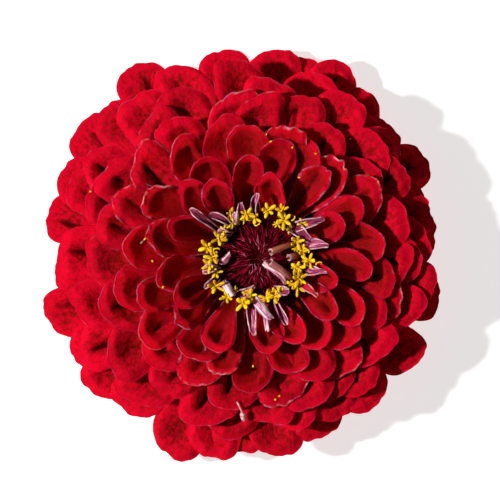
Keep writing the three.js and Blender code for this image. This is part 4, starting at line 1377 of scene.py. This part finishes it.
def bract_tree():
    tree, start, end = new_tree("grow_bracts", across=17, along=21, fringe=BRACT_FRINGE)
    mesh, side, row = grid_on_seeds(tree, start)
    m = carried(tree, "number azimuth foot_z tip_z half_width stand")
    fringe = Field(tree, start.outputs["fringe"])
    fall = 1 - (1 - abs(side) ** BRACT_SQUARENESS).at_least(0) ** (1 / BRACT_SQUARENESS)
    ragged = waves(tree, side * m.half_width, 0, m.number * 4.3, 0.5) * fringe
    place = row * (1 - 0.42 * fall) + ragged * row.ease(0.85, 1) / (m.tip_z - m.foot_z)
    height = m.foot_z + (m.tip_z - m.foot_z) * place
    half = m.half_width * (0.7 + 0.3 * place.ease(0, 0.6))
    cup = mix(STALK_NECK_RADIUS, CALYX_RADIUS, height.at_most(CALYX_TOP).ease(*CUP_WIDENS))
    keel = 0.35 * side.bump(0, 0.3) * (1 - place.ease(0.4, 1)) - 0.25 * side * side * place
    radius = cup - 0.2 + (m.stand + 0.2) * place.ease(0, 1) + keel
    angle = m.azimuth + half * side / cup
    mesh = keep(tree, mesh, along=place, petal_mm=(height, side * half, m.number * 3.9))
    finish_tree(tree, start, end, mesh, radius * angle.cos(), radius * angle.sin(), height)
    return tree


bract_rule = bract_tree()
print("bract tree nodes:", len(bract_rule.nodes))


# %% Bracts
def bract_finish(name, green, pale, brown):
    """Leathery green with faint lengthwise veins, browned and darkened at the fringed tip."""
    material, tree, shader = new_material(name)
    m = carried(tree, "along")
    veins = streaky(tree, (0.3, 2), 3)
    tipped = (m.along + (veins - 0.5) * 0.2).ease(0.82, 0.95)
    colour = coated(tree, green, (veins.ease(0.3, 0.7), pale), (tipped, brown))
    bump = add(tree, "ShaderNodeBump", {"Height": veins, "Distance": 0.25 * MM}).outputs["Normal"]
    feed(tree, shader, {"Base Color": colour, "Normal": bump, "Roughness": 0.6, "Specular IOR Level": 0.3})
    return material


BRACT_THICKNESS = 0.5
BRACT_ROWS = [  # how many, height of the foot and of the tip, width, how far the tip stands off the cup
    (7, 5.4, 9.8, 6.2, 1.2),
    (9, 7.4, 12.4, 6.4, 1.3),
    (10, 9.8, 14.8, 6.4, 1.4),
]


def bract_seed(row, index):
    count, foot, tip, width, stand = row
    azimuth = 2 * math.pi * index / count + 0.06 * draw(index + count, 41)
    measures = {"foot_z": foot, "tip_z": tip, "half_width": width / 2, "stand": stand}
    return {"number": index + 20 * count, "azimuth": azimuth, **measures}


bract_skin = bract_finish("bract_green", "#3f5a22", "#6f8c44", "#2a160c")
bract_seeds = [bract_seed(row, index) for row in BRACT_ROWS for index in range(row[0])]
bracts = grown(seeds("bracts", bract_seeds), bract_rule, bract_skin)
thicken(bracts, BRACT_THICKNESS, bract_skin, bract_skin)
settle(bracts, "calyx")

# %% [markdown]
# ## Stalk
#
# The stub of the stalk is ribbed, swells under the head and bristles with short stiff hairs. Its cut end
# shows a pale pith. The ribs could be cut into a round bar. Here they are a wave of the radius, so the skin
# is one surface of rings whose radius changes with the angle, and the hairs can stand right on it.

# %% Stalk
STALK_RIBS = 9
RIB_SHARE = 0.035  # of the stalk's radius, that the ribs stand out and the grooves lie in
STALK_SIDES = 90
STALK_RINGS = 10


def stalk_point(angle, height):
    swell = graded(1, STALK_NECK_RADIUS / STALK_RADIUS, 0.8, STALK_TOP, height)
    radius = STALK_RADIUS * swell * (1 - RIB_SHARE + RIB_SHARE * math.cos(STALK_RIBS * angle))
    return polar(angle, radius, height)


def stalk_ring(height):
    return [stalk_point(2 * math.pi * k / STALK_SIDES, height) for k in range(STALK_SIDES)]


stalk_green = plain_finish("stalk_green", "#4c6a2a", "#7c9a4c", 1.2, 0.6)
stalk_pith = plain_finish("stalk_pith", "#a8b078", "#d8d8ac", 0.6, 0.8)
stalk_rings = [stalk_ring(STALK_TOP * ring / STALK_RINGS) for ring in range(STALK_RINGS + 1)]
stalk = stacked("stalk_stub", stalk_rings, stalk_green, stalk_pith)
cut_end, top = stalk.data.polygons[0], stalk.data.polygons[-1]
cut_end.material_index = 1
cut_end.use_smooth = top.use_smooth = False
settle(stalk, "stalk")

# %% Hairs
STALK_HAIRS = 90


def stalk_hair(index):
    angle = index * GOLDEN_ANGLE
    height = mix(0.5, STALK_TOP - 0.4, 0.5 + 0.5 * draw(index, 61))
    lean = 0.5 + 0.4 * draw(index, 62)
    heading = angle + 0.4 * draw(index, 63)
    return rod(stalk_point(angle, height), heading, lean, 1.0, 0.12, taper=0.8, bend=-0.4)


hair_skin = plain_finish("stalk_hair", "#b8bf98", "#e0e2c8", 1, 0.7)
hair_seeds = seeds("stalk_hairs", [stalk_hair(index) for index in range(STALK_HAIRS)])
settle(grown(hair_seeds, rod_rule, hair_skin, around=4, rings=4), "stalk")

# %% [markdown]
# ## Table
#
# The head lies on a wide pale table. It glows a little, so that it stays bright all round the flower and
# keeps only a soft shadow under the petals. It is stage: it shows in the picture and isn't a piece of the
# flower.

# %% Table
TABLE_HALF = 4.0  # metres
TABLE_HEIGHT = -0.1 * MM  # just under the lowest petals
table_finish, table_tree, table_shader = new_material("pale_table")
glow = {"Emission Color": linear("#ffffff"), "Emission Strength": 0.7}
matt = {"Base Color": linear("#c4c4c2"), "Roughness": 0.9, "Specular IOR Level": 0.1}
feed(table_tree, table_shader, {**matt, **glow})
table_mesh = bpy.data.meshes.new("table")
corners = [(x * TABLE_HALF, y * TABLE_HALF, TABLE_HEIGHT) for x, y in ((-1, -1), (1, -1), (1, 1), (-1, 1))]
table_mesh.from_pydata(corners, [], [(0, 1, 2, 3)])
table_mesh.materials.append(table_finish)
put("table", table_mesh)
print("table width in metres:", 2 * TABLE_HALF)
